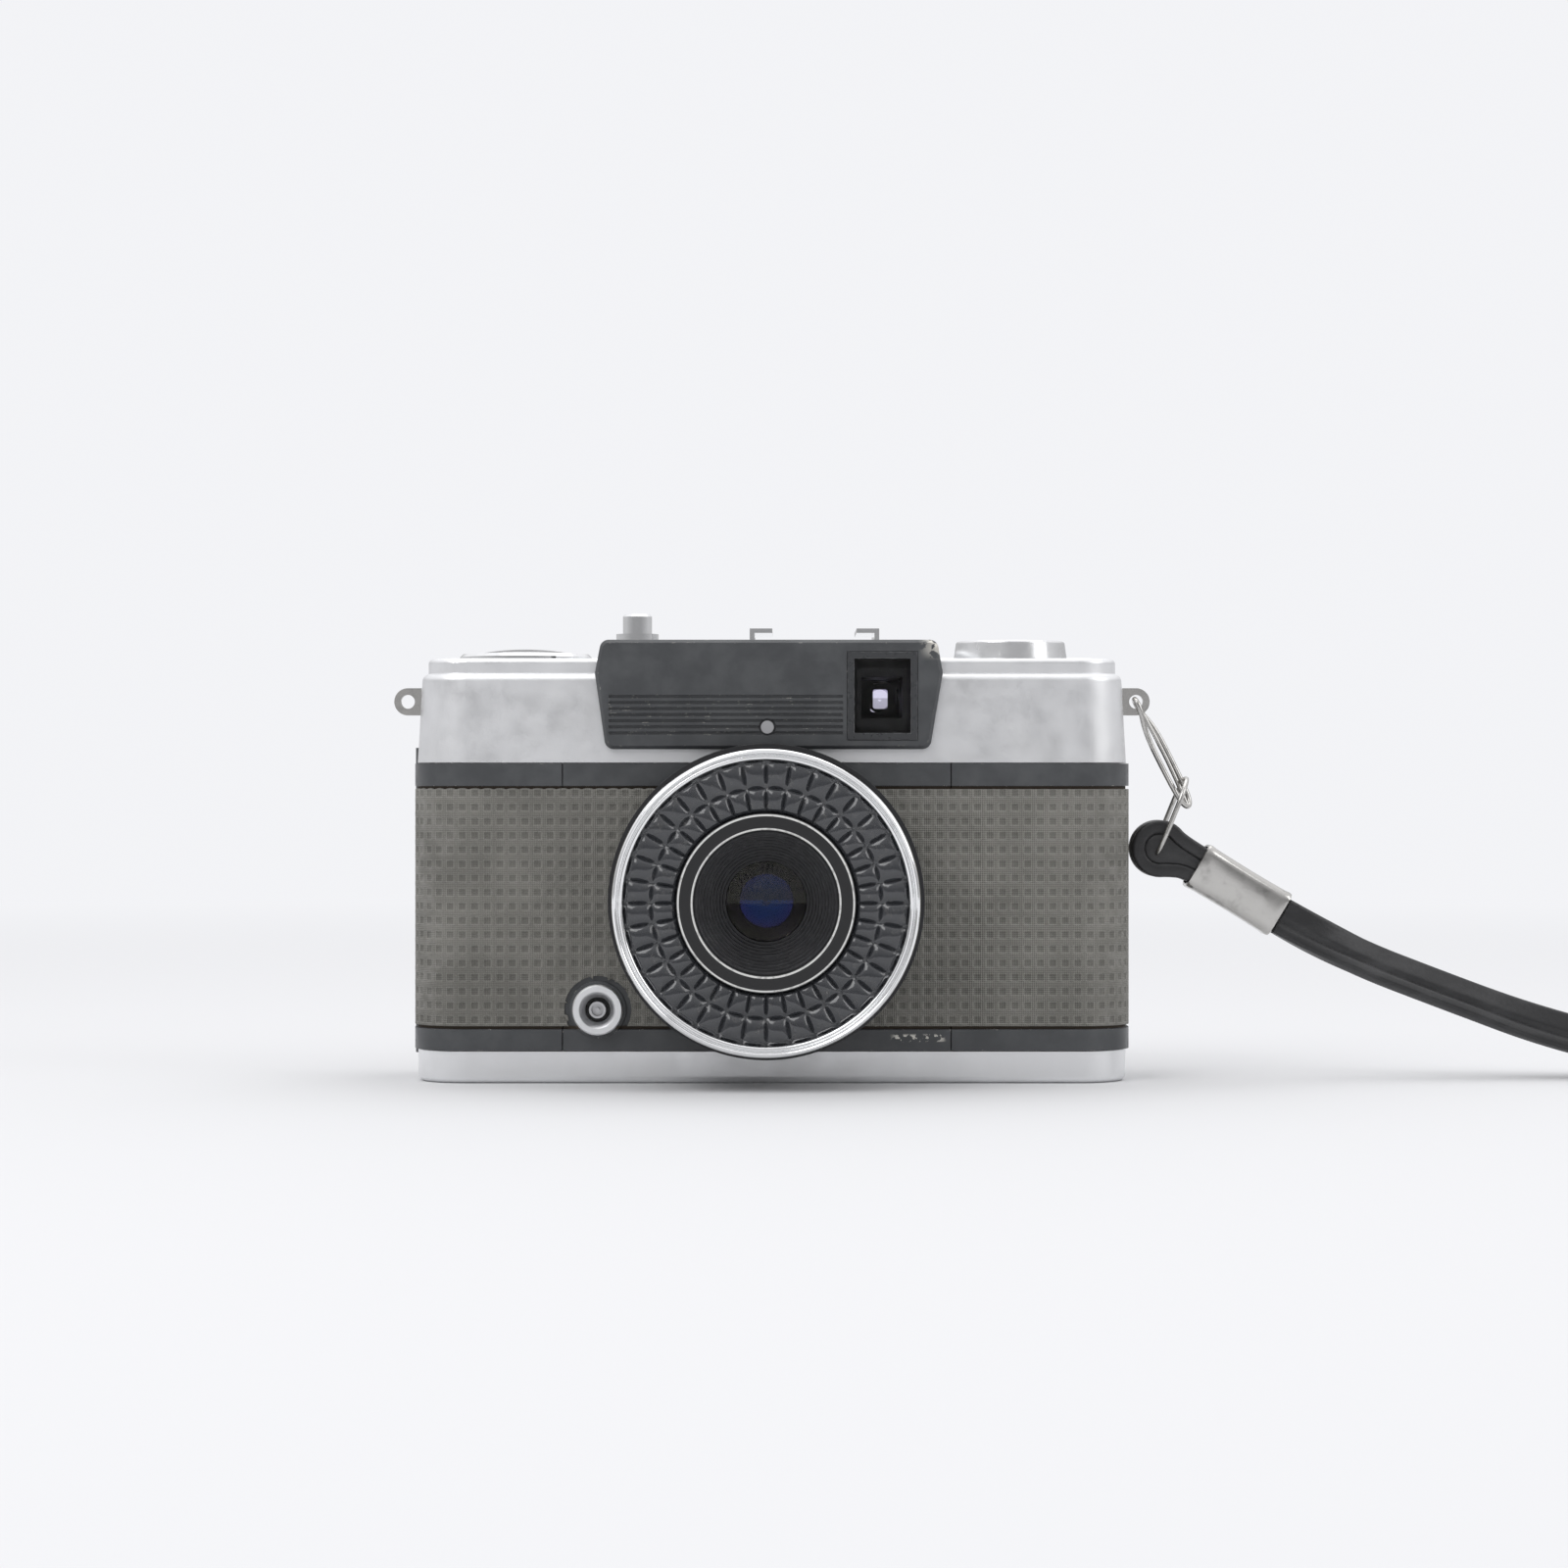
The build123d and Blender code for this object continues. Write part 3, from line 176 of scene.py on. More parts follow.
# ---------------------------------------------------------------- materials
class Finish:
    """A procedural material round one Principled shader."""

    def __init__(self, name, colour, roughness, metallic=0.0, **fixed):
        self.material = bpy.data.materials.new(name)
        self.material.use_nodes = True
        self.tree = self.material.node_tree
        self.shader = self.tree.nodes["Principled BSDF"]
        self.put("Base Color", (*colour, 1))
        self.put("Roughness", roughness)
        self.put("Metallic", metallic)
        for key, value in fixed.items():
            self.put(key.replace("_", " "), value)

    def put(self, label, value):
        """Set a number or colour, or link a socket, on the shader."""
        self.feed(self.shader.inputs[label], value)

    def feed(self, socket, value):
        """Link a socket into socket, or set its value."""
        if isinstance(value, bpy.types.NodeSocket):
            self.tree.links.new(value, socket)
        elif isinstance(value, tuple) and len(value) == 3 and socket.type == "RGBA":
            socket.default_value = (*value, 1)
        else:
            socket.default_value = value

    def node(self, kind, *values, **options):
        """A node with its first inputs fed by values."""
        made = self.tree.nodes.new("ShaderNode" + kind)
        for key, value in options.items():
            setattr(made, key, value)
        for socket, value in zip(made.inputs, values):
            if value is not None:
                self.feed(socket, value)
        return made

    def math(self, operation, *values):
        """Result of a Math node."""
        return self.node("Math", *values, operation=operation).outputs[0]

    def place(self):
        """The point on the piece, in metres, as three sockets."""
        where = self.node("TexCoord").outputs["Object"]
        return self.node("SeparateXYZ", where).outputs

    def noise(self, size, detail=3.0, stretch=(1, 1, 1), rough=0.55):
        """Noise with features of about size metres."""
        where = self.node("TexCoord").outputs["Object"]
        mapping = self.node("Mapping", where)
        mapping.inputs["Scale"].default_value = tuple(k / size for k in stretch)
        grain = self.node("TexNoise", mapping.outputs[0])
        grain.inputs["Scale"].default_value = 1.0
        grain.inputs["Detail"].default_value = detail
        grain.inputs["Roughness"].default_value = rough
        return grain.outputs["Fac"]

    def span(self, value, low, high, to_low=0.0, to_high=1.0):
        """Value carried from low..high to to_low..to_high, smoothly and clamped."""
        ranged = self.node("MapRange", value, low, high, to_low, to_high,
                           interpolation_type="SMOOTHSTEP")
        return ranged.outputs[0]

    def blend(self, amount, a, b):
        """Colour from a to b."""
        mixed = self.node("Mix", data_type="RGBA")
        self.feed(mixed.inputs["Factor"], amount)
        self.feed(mixed.inputs[6], a)
        self.feed(mixed.inputs[7], b)
        return mixed.outputs[2]

    def edges(self, radius):
        """How near an outside edge the point is, 0 to 1."""
        soft = self.node("Bevel", samples=4)
        soft.inputs["Radius"].default_value = radius
        flat = self.node("NewGeometry").outputs["Normal"]
        likeness = self.node("VectorMath", soft.outputs[0], flat, operation="DOT_PRODUCT")
        return self.span(likeness.outputs["Value"], 0.995, 0.86)

    def bump(self, height, depth, radius=None):
        """Surface relief of depth metres, with edges rounded by radius metres."""
        relief = self.node("Bump")
        relief.inputs["Distance"].default_value = depth
        relief.inputs["Strength"].default_value = 1.0
        self.feed(relief.inputs["Height"], height)
        if radius:
            soft = self.node("Bevel", samples=4)
            soft.inputs["Radius"].default_value = radius
            self.tree.links.new(soft.outputs[0], relief.inputs["Normal"])
        self.tree.links.new(relief.outputs[0], self.shader.inputs["Normal"])


def satin_metal():
    """Fine satin chrome of the two covers, faintly stained."""
    f = Finish("satin_metal", (0.8, 0.805, 0.81), 0.34, 1.0)
    stain = f.span(f.noise(0.009, 4), 0.42, 0.72)
    grime = f.math("MULTIPLY", stain, 0.2)
    f.put("Base Color", f.blend(grime, (0.86, 0.865, 0.875), (0.74, 0.738, 0.73)))
    grain = f.noise(0.00022, 2)
    uneven = f.math("ADD", f.noise(0.004, 3), f.math("MULTIPLY", grain, 0.5))
    f.put("Roughness", f.span(uneven, 0.4, 1.0, 0.3, 0.44))
    f.bump(grain, 0.000012, 0.00018)
    return f.material


def painted_casting():
    """Dark blue-grey enamel with silver chips on edges and brown grime in the gaps."""
    f = Finish("painted_casting", (0.075, 0.08, 0.087), 0.36)
    x, y, z = f.place()
    cloud = f.span(f.noise(0.006, 4), 0.35, 0.7)
    tone = f.blend(cloud, (0.055, 0.058, 0.062), (0.078, 0.082, 0.086))
    speck = f.span(f.noise(0.0011, 4, rough=0.7), 0.6, 0.66)
    worn = f.math("MULTIPLY", f.edges(0.00022), speck)
    patch_x = f.math("MULTIPLY", f.span(x, 0.0182, 0.0196), f.span(x, 0.0272, 0.0262))
    patch_z = f.math("MULTIPLY", f.span(z, 0.0064, 0.0067), f.span(z, 0.0078, 0.0074))
    patch = f.math("MULTIPLY", f.math("MULTIPLY", patch_x, patch_z),
                   f.span(f.noise(0.0009, 4), 0.53, 0.56))
    corner = f.math("MULTIPLY", f.span(x, 0.0225, 0.0255), f.span(z, 0.0655, 0.0675))
    corner = f.math("MULTIPLY", corner, f.span(f.noise(0.0014, 4), 0.46, 0.5))
    chips = f.math("MAXIMUM", f.math("MAXIMUM", f.math("MULTIPLY", worn, 0.9), patch), corner)
    low = f.math("MULTIPLY", f.span(z, 0.00842, 0.00852), f.span(z, 0.00905, 0.0089))
    high = f.math("MULTIPLY", f.span(z, 0.04555, 0.0457), f.span(z, 0.0462, 0.0461))
    grime = f.math("MULTIPLY", f.math("MAXIMUM", low, high), f.span(y, 0.0135, 0.0125))
    tone = f.blend(chips, tone, (0.62, 0.6, 0.55))
    f.put("Base Color", f.blend(grime, tone, (0.05, 0.036, 0.024)))
    f.put("Metallic", f.math("MULTIPLY", chips, 0.8))
    f.put("Roughness", f.span(f.math("ADD", grime, f.noise(0.0015, 3)), 0.3, 1.3, 0.3, 0.8))
    f.bump(f.math("SUBTRACT", f.noise(0.0007, 3), chips), 0.00002, 0.0002)
    return f.material


def leatherette():
    """Warm grey leatherette: square dimples with woven thread lines between them; the dimple centres are
    darkened as painted shade and their rims lightened as a painted highlight.
    """
    f = Finish("leatherette", (0.17, 0.16, 0.145), 0.62)
    uv = f.node("SeparateXYZ", f.node("UVMap", uv_map="weave").outputs[0]).outputs
    along, up = uv[0], uv[1]
    thread_x = f.math("SINE", f.math("MULTIPLY", along, 2 * math.pi / THREAD))
    thread_z = f.math("SINE", f.math("MULTIPLY", up, 2 * math.pi / THREAD))
    weave = f.math("ADD", thread_x, thread_z)
    cell = []
    for value, pitch in ((along, PITCH_ALONG), (up, PITCH_UP)):
        part = f.math("FRACT", f.math("DIVIDE", value, pitch))
        cell.append(f.math("ABSOLUTE", f.math("SUBTRACT", part, 0.5)))
    centre = f.math("MULTIPLY", f.span(cell[0], 0.31, 0.23), f.span(cell[1], 0.28, 0.2))
    cloud = f.span(f.noise(0.012, 4), 0.3, 0.7)
    tone = f.blend(cloud, (0.19, 0.186, 0.166), (0.26, 0.254, 0.228))
    tone = f.blend(f.span(weave, -1.6, 1.2), f.blend(0.38, tone, (0.06, 0.055, 0.048)), tone)
    # painted shade: the centre of each dimple darkened
    tone = f.blend(f.math("MULTIPLY", centre, 0.24), tone, (0.045, 0.042, 0.038))
    # painted highlight: a lighter ring round each dimple, from the outer mask less the centre
    outer = f.math("MULTIPLY", f.span(cell[0], 0.37, 0.33), f.span(cell[1], 0.33, 0.29))
    rim = f.math("MAXIMUM", f.math("SUBTRACT", outer, centre), 0.0)
    tone = f.blend(f.math("MULTIPLY", rim, 0.22), tone, (0.42, 0.41, 0.38))
    x = f.place()[0]
    ends = f.math("MULTIPLY", f.span(f.math("ABSOLUTE", x), 0.046, 0.056),
                  f.span(f.noise(0.003, 4), 0.4, 0.7))
    f.put("Base Color", f.blend(f.math("MULTIPLY", ends, 0.45), tone, (0.33, 0.32, 0.3)))
    f.put("Roughness", f.span(f.noise(0.002, 3), 0.3, 0.7, 0.5, 0.72))
    f.bump(f.math("ADD", weave, f.math("MULTIPLY", f.noise(0.0004, 3), 1.5)), 0.000028)
    return f.material


def plated(name, colour, roughness, dirt=0.2, round_edge=None):
    """Bright plated or turned metal with faint scratches and dirt."""
    f = Finish(name, colour, roughness, 1.0)
    scratch = f.noise(0.004, 4)
    dull = tuple(0.55 * c for c in colour)
    dirty = f.math("MULTIPLY", f.span(f.noise(0.0024, 4), 0.5, 0.8), dirt)
    f.put("Base Color", f.blend(dirty, colour, dull))
    f.put("Roughness", f.span(scratch, 0.3, 0.75, roughness * 0.85, roughness * 1.25))
    f.bump(f.noise(0.0004, 2), 0.000002, round_edge)
    return f.material


def dark_part(name, colour, roughness, metallic=0.0, rim=0.3):
    """Black finish, a little lighter at its edges from wear; with a large rim the lighter edges are a
    painted highlight.
    """
    f = Finish(name, colour, roughness, metallic)
    # edge mask: real wear on most dark parts; on the window frame (rim=1.0) a painted highlight along its
    # bevels
    rubbed_and_lit_edges = f.math("MULTIPLY", f.edges(0.00015), f.span(f.noise(0.0012, 4), 0.4, 0.7))
    f.put("Base Color", f.blend(f.math("MULTIPLY", rubbed_and_lit_edges, rim), colour, (0.35, 0.35, 0.36)))
    f.put("Roughness", f.span(f.noise(0.0009, 3), 0.3, 0.7, roughness * 0.85, roughness * 1.25))
    f.bump(f.noise(0.00025, 2), 0.000012, 0.00012)
    return f.material


def clear(name, colour, roughness, **fixed):
    """Transparent moulding or glass with faint dust."""
    f = Finish(name, colour, roughness, Transmission_Weight=1.0, IOR=1.49, **fixed)
    dust = f.span(f.noise(0.0006, 5, rough=0.7), 0.62, 0.75)
    f.put("Roughness", f.math("ADD", f.math("MULTIPLY", dust, 0.18), roughness))
    return f.material


def lenslet_plastic():
    """Smoky moulded window over the light cell."""
    f = Finish("lenslet_plastic", (0.06, 0.063, 0.07), 0.14, Transmission_Weight=0.3, IOR=1.52)
    f.put("Coat Weight", 0.6)
    f.put("Coat Roughness", 0.06)
    dust = f.span(f.noise(0.0016, 5, rough=0.7), 0.52, 0.75)
    dusty = f.math("MULTIPLY", dust, 0.35)
    f.put("Base Color", f.blend(dusty, (0.05, 0.053, 0.06), (0.2, 0.195, 0.185)))
    f.put("Roughness", f.span(dust, 0, 1, 0.1, 0.3))
    return f.material


def name_ring():
    """Black ring with two fine white circles."""
    f = Finish("name_ring", (0.012, 0.012, 0.013), 0.33)
    x, _, z = f.place()
    dx, dz = f.math("SUBTRACT", x, LENS_X), f.math("SUBTRACT", z, LENS_Z)
    radius = f.math("SQRT", f.math("ADD", f.math("MULTIPLY", dx, dx), f.math("MULTIPLY", dz, dz)))
    lines = None
    for r in RING_CIRCLES:
        away = f.math("ABSOLUTE", f.math("SUBTRACT", radius, r))
        line = f.span(away, 0.00017, 0.00012)
        lines = line if lines is None else f.math("MAXIMUM", lines, line)
    worn = f.math("MULTIPLY", lines, f.span(f.noise(0.0008, 4), 0.3, 0.5, 0.6, 1.0))
    f.put("Base Color", f.blend(worn, (0.012, 0.012, 0.013), (0.72, 0.72, 0.7)))
    f.bump(f.noise(0.0003, 2), 0.00001)
    return f.material


def vinyl():
    """Soft black vinyl with a dusty bloom."""
    f = Finish("vinyl", (0.03, 0.03, 0.032), 0.42)
    bloom = f.span(f.noise(0.004, 5, stretch=(0.4, 1, 1), rough=0.65), 0.4, 0.8)
    dusty = f.math("MULTIPLY", bloom, 0.6)
    f.put("Base Color", f.blend(dusty, (0.018, 0.018, 0.019), (0.06, 0.06, 0.062)))
    f.put("Roughness", f.span(bloom, 0, 1, 0.36, 0.58))
    f.bump(f.noise(0.0006, 4), 0.00004)
    return f.material


def plain(name, colour, roughness):
    """Matt paint with a fine grain."""
    f = Finish(name, colour, roughness)
    f.put("Roughness", f.span(f.noise(0.0005, 3), 0.3, 0.7, roughness * 0.9, min(1, roughness * 1.15)))
    f.bump(f.noise(0.0002, 2), 0.000008)
    return f.material


# Places taken from the frame.
LENS_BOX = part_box("bezel_ring")
LENS_X = (LENS_BOX[0].x + LENS_BOX[1].x) / 2
LENS_Z = (LENS_BOX[0].z + LENS_BOX[1].z) / 2
BEZEL_R = (LENS_BOX[1].x - LENS_BOX[0].x) / 2
FLASH_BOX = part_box("flash_socket")
FLASH_X = (FLASH_BOX[0].x + FLASH_BOX[1].x) / 2
FLASH_Z = (FLASH_BOX[0].z + FLASH_BOX[1].z) / 2
PITCH_ALONG, PITCH_UP, THREAD = 1.95 * MM, 2.2 * MM, 0.2788 * MM
RING_CIRCLES = (0.01325, 0.01118)

FINISH = {
    "satin_metal": satin_metal(),
    "painted_casting": painted_casting(),
    "leatherette": leatherette(),
    "chrome_trim": plated("chrome_trim", (0.88, 0.885, 0.89), 0.09),
    "turned_metal": plated("turned_metal", (0.8, 0.805, 0.81), 0.24, round_edge=0.00012),
    "steel_small": plated("steel_small", (0.52, 0.52, 0.53), 0.3),
    "worn_nickel": plated("worn_nickel", (0.54, 0.53, 0.51), 0.2, 0.75),
    "black_anodised": dark_part("black_anodised", (0.022, 0.022, 0.024), 0.34, 0.3),
    "black_plastic": dark_part("black_plastic", (0.013, 0.013, 0.013), 0.5, 0.0, 0.12),
    "brass_bush": plated("brass_bush", (0.66, 0.53, 0.3), 0.26, 0.5),
    "clear_plastic": clear("clear_plastic", (0.95, 0.96, 0.97), 0.01),
    "coated_glass": clear("coated_glass", (0.8, 0.78, 0.92), 0.0, Thin_Film_Thickness=420.0),
    "light_cell": dark_part("light_cell", (0.03, 0.034, 0.042), 0.3),
    "counter_dial": dark_part("counter_dial", (0.02, 0.02, 0.02), 0.45),
    "strap_vinyl": vinyl(),
}
for node in NODES.values():
    for held in node.material_slots:
        held.material = FINISH[held.material.name.split(".")[0]]
OWN_FINISH = {
    "lens_name_ring": name_ring(),
    "finder_lens": clear("finder_glass", (0.97, 0.97, 0.98), 0.0),
    "shutter_blade_a": plain("blade_a_black", (0.02, 0.02, 0.021), 0.4),
    "shutter_blade_b": plain("blade_b_black", (0.02, 0.02, 0.021), 0.4),
    "front_lens": Finish("front_glass", (0.5, 0.45, 0.55), 0.0, Transmission_Weight=1.0, IOR=1.6,
                         Thin_Film_Thickness=330.0).material,
    # the window frame's bright edges are a painted highlight on its bevels, not wear
    "window_frame": dark_part("window_rim_painted_highlight", (0.04, 0.042, 0.045), 0.3, rim=1.0),
    "flash_pin": FINISH["steel_small"],
    "flash_insulator": FINISH["black_plastic"],
}
OWN_FINISH["finder_lens"].node_tree.nodes["Principled BSDF"].inputs["IOR"].default_value = 1.16
for name, finish in OWN_FINISH.items():
    NODES[name].material_slots[0].material = finish


# ---------------------------------------------------------------- making pieces
def piece(name, verts, faces, body, slot, finish=None, replaced=(), sharp=38):
    """A mesh piece that rides on body, shaded smooth except at sharp edges."""
    mesh = bpy.data.meshes.new(name)
    mesh.from_pydata([tuple(v) for v in verts], [], faces)
    mesh.validate()
    mesh.shade_smooth()
    mesh.set_sharp_from_angle(angle=math.radians(sharp))
    made = bpy.data.objects.new(name, mesh)
    bpy.context.scene.collection.objects.link(made)
    mesh.materials.append(finish or FINISH[slot])
    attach(made, body)
    if replaced:
        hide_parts(*replaced)
    return made


def skin(rings, closed_rings=True, closed_run=False, caps=False):
    """Vertices and faces over a run of rings with the same number of points."""
    count, size = len(rings), len(rings[0])
    verts = [p for ring in rings for p in ring]
    faces = []
    for i in range(count if closed_run else count - 1):
        j = (i + 1) % count
        for k in range(size if closed_rings else size - 1):
            m = (k + 1) % size
            faces.append((i * size + k, i * size + m, j * size + m, j * size + k))
    if caps:
        faces.append(tuple(range(size - 1, -1, -1)))
        faces.append(tuple((count - 1) * size + k for k in range(size)))
    return verts, faces


def turned(profile, centre_x, centre_z, segments=180):
    """A closed profile of (radius, y) points turned round a line along Y."""
    rings = []
    for i in range(segments):
        a = 2 * math.pi * i / segments
        rings.append([(centre_x + r * math.cos(a), y, centre_z + r * math.sin(a))
                      for r, y in profile])
    return skin(rings, closed_run=True)


def spline(points, closed=False):
    """Points along one smooth line with the given control points."""
    curve = bpy.data.curves.new("line", "CURVE")
    curve.dimensions = "3D"
    line = curve.splines.new("NURBS")
    line.points.add(len(points) - 1)
    for point, place in zip(line.points, points):
        point.co = (*place, 1)
    line.order_u = 3
    line.use_endpoint_u = not closed
    line.use_cyclic_u = closed
    line.resolution_u = 16
    holder = bpy.data.objects.new("line", curve)
    bpy.context.scene.collection.objects.link(holder)
    mesh = bpy.data.meshes.new_from_object(holder)
    found = [v.co.copy() for v in mesh.vertices]
    bpy.data.objects.remove(holder)
    bpy.data.meshes.remove(mesh)
    bpy.data.curves.remove(curve)
    return found


def tangents(points, closed=False):
    """Unit directions along a line of points."""
    found = []
    for i in range(len(points)):
        before = points[i - 1] if closed else points[max(i - 1, 0)]
        after = points[(i + 1) % len(points)] if closed else points[min(i + 1, len(points) - 1)]
        found.append((after - before).normalized())
    return found


def wire(points, radius, closed=True, sides=12):
    """Round wire along points."""
    rings = []
    up = Vector((0.13, 1, 0.21)).normalized()
    for p, t in zip(points, tangents(points, closed)):
        side = t.cross(up).normalized()
        up = side.cross(t).normalized()
        turn = [2 * math.pi * k / sides for k in range(sides)]
        rings.append([p + radius * (math.cos(a) * side + math.sin(a) * up) for a in turn])
    return skin(rings, closed_run=closed, caps=not closed)


def rounded_box(half_w, half_h, radius, steps=5):
    """Points round a rectangle with round corners."""
    points = []
    for cx, cy, start in ((1, 1, 0), (-1, 1, 90), (-1, -1, 180), (1, -1, 270)):
        for k in range(steps + 1):
            a = math.radians(start + 90 * k / steps)
            points.append((cx * (half_w - radius) + radius * math.cos(a),
                           cy * (half_h - radius) + radius * math.sin(a)))
    return points


# ---------------------------------------------------------------- wrist strap
STRAP_W, STRAP_T = 6.0 * MM, 2.2 * MM
STRAP_ROUTE = [Vector(p) * MM for p in (
    (80.5, 4.7, 25.6), (90, 4.7, 20.1), (106, 4.6, 13.9), (122, 4.2, 8.0), (138, 2.4, 4.2),
    (156, -3.0, 3.3), (176, -10.5, 3.3), (195.5, -15.3, 3.3), (214.3, -15.5, 3.3), (226, -3.8, 3.3),
    (226, 12.8, 3.3), (214.3, 24.5, 3.3), (195.5, 24.2, 3.3), (176, 19.6, 3.3), (156, 13.4, 3.3),
    (138, 9.4, 4.2), (122, 7.8, 8.0), (106, 7.4, 13.9), (90, 7.3, 20.1), (80.5, 7.3, 25.6))]
LEAN = math.radians(32)
LOOP_Y = 6.0 * MM
FERRULE_FROM = Vector((67.07 * MM, LOOP_Y, 33.76 * MM))
FERRULE_TO = Vector((80.19 * MM, LOOP_Y, 25.78 * MM))
FERRULE_LENGTH = (FERRULE_TO - FERRULE_FROM).length
FERRULE_WAY = (FERRULE_TO - FERRULE_FROM).normalized()
FERRULE_UP = Vector((-FERRULE_WAY.z, 0, FERRULE_WAY.x))


def strap_section():
    """Points round the strap's section: rounded, with a soft channel along each face."""
    half_t, half_w, corner = STRAP_T / 2, STRAP_W / 2, 0.55 * MM
    points = rounded_box(half_t, half_w, corner, 4)
    face = [(k / 16 - 0.5) * 2 * (half_w - corner) for k in range(1, 16)]
    channel = [0.45 * MM * math.exp(-(((h + 0.9 * MM) / (0.5 * MM)) ** 2)) for h in face]
    right = [(half_t - c, h) for h, c in zip(face, channel)]
    left = [(-half_t + c, h) for h, c in zip(reversed(face), reversed(channel))]
    return right + points[:10] + left + points[10:]


def lay_strap():
    """The free loop of strap, leaning back near the ferrule and on its edge on the table."""
    line = spline(STRAP_ROUTE)
    section = strap_section()
    rings = []
    for p, t in zip(line, tangents(line)):
        side = t.cross(Vector((0, 0, 1))).normalized()
        up = side.cross(t).normalized()
        out = np.interp(p.x, [80.5 * MM, 92 * MM, 112 * MM, 150 * MM], [0, 1, 1, 0])
        lean = LEAN * out * (1 if side.y < 0 else -1)
        face = side * math.cos(lean) + up * math.sin(lean)
        tall = up * math.cos(lean) - side * math.sin(lean)
        rings.append([p + a * face + b * tall for a, b in section])
    verts, faces = skin(rings, caps=True)
    strap = piece("strap_band", verts, faces, "strap", "strap_vinyl", replaced=["wrist_strap"])
    return strap, line


def strap_fold():
    """The strap's end folded round the link, with its two layers running into the ferrule."""
    loop_angle, loop_r, centre = math.radians(-23.4), 3.5 * MM, -6.4 * MM
    loop_way = Vector((math.cos(loop_angle), 0, math.sin(loop_angle)))
    loop_up = Vector((-loop_way.z, 0, loop_way.x))
    layer = 1.95 * MM
    inside = 12.0 * MM
    points = [FERRULE_FROM + inside * FERRULE_WAY + layer * FERRULE_UP,
              FERRULE_FROM + 2 * MM * FERRULE_WAY + layer * FERRULE_UP,
              FERRULE_FROM - 1.2 * MM * FERRULE_WAY + layer * FERRULE_UP]
    for degrees in range(50, 311, 26):
        a = math.radians(degrees)
        points.append(FERRULE_FROM + (centre + loop_r * math.cos(a)) * loop_way
                      + loop_r * math.sin(a) * loop_up)
    points += [FERRULE_FROM - 1.2 * MM * FERRULE_WAY - layer * FERRULE_UP,
               FERRULE_FROM + 2 * MM * FERRULE_WAY - layer * FERRULE_UP,
               FERRULE_FROM + inside * FERRULE_WAY - layer * FERRULE_UP]
    line = spline(points)
    across = Vector((0, 1, 0))
    rings = []
    for p, t in zip(line, tangents(line)):
        out = t.cross(across).normalized()
        rings.append([p + a * out + b * across for a, b in strap_section()])
    verts, faces = skin(rings, caps=True)
    made = piece("strap_fold", verts, faces, "strap", "strap_vinyl", replaced=["strap_end_loop"])
    core = []
    for y, shrink in ((-2.75, 1.4), (-2.45, 0.95), (2.45, 0.95), (2.75, 1.4)):
        ring = []
        for p, t in zip(line, tangents(line)):
            ring.append(p + shrink * MM * t.cross(across).normalized() + y * MM * across)
        core.append(ring)
    verts, faces = skin(core, caps=True)
    piece("strap_core", verts, faces, "strap", "strap_vinyl")
    return made


def ferrule():
    """Crimped tube of sheet metal with rolled ends and a lapped seam low on its front."""
    tall = STRAP_W / 2 + 0.85 * MM
    thick = STRAP_W / 2 + 0.61 * MM
    lap = 0.14 * MM
    rings = []
    stations = ((0, -0.35), (0.15, -0.1), (0.6, 0), (1.5, -0.12), (4.5, -0.16), (8, -0.2),
                (11.5, -0.16), (14, -0.1), (14.8, 0), (15.2, -0.1), (15.35, -0.35))
    for along_mm, swell in stations:
        grow = swell * MM
        middle = FERRULE_FROM + along_mm * MM * FERRULE_WAY
        ring = []
        for across, up in rounded_box(thick + grow, tall + grow, 1.5 * MM, 6):
            step = lap if across < 0 and -2.3 * MM < up < -1.2 * MM else 0
            ring.append(middle + (across - step) * Vector((0, 1, 0)) + up * FERRULE_UP)
        rings.append(ring)
    for along_mm in (15.3, 0.05):
        middle = FERRULE_FROM + along_mm * MM * FERRULE_WAY
        inner = rounded_box(thick - 0.5 * MM, tall - 0.5 * MM, 1.0 * MM, 6)
        rings.append([middle + across * Vector((0, 1, 0)) + up * FERRULE_UP for across, up in inner])
    verts, faces = skin(rings, closed_run=True)
    return piece("strap_clamp", verts, faces, "strap", "worn_nickel", replaced=["strap_ferrule"])


strap, strap_line = lay_strap()
fold = strap_fold()
clamp = ferrule()


def hook_wires():
    """Long wire snap hook: an outer loop and its tongue."""
    top = Vector((57.4, 6.0, 59.9)) * MM
    low = Vector((65.9, 6.0, 43.0)) * MM
    way = (low - top).normalized()
    flat = Vector((-way.z, 0, way.x))
    wide = (flat * 0.62 + Vector((0, 0.78, 0))).normalized()
    across = Vector((0, 1, 0))
    length = (low - top).length
    shape = ((0, 1.35, across), (0.09, 1.7, across), (0.3, 1.6, wide), (0.62, 1.7, wide),
             (0.9, 1.5, wide), (1.0, 0.7, wide))
    right = [top + way * length * u + side * w * MM for u, w, side in shape]
    left = [top + way * length * u - side * w * MM for u, w, side in reversed(shape)]
    verts, faces = wire(spline(right + left, True), 0.42 * MM)
    tongue = [top + way * length * u + wide * w * MM
              for u, w in ((0.14, 0.2), (0.35, 0.55), (0.7, 0.5), (1.0, -0.2))]
    more, extra = wire(spline(tongue), 0.34 * MM, closed=False)
    faces += [tuple(k + len(verts) for k in face) for face in extra]
    verts += more
    return piece("snap_hook", verts, faces, "strap", "worn_nickel", replaced=["strap_hook"])


hook = hook_wires()


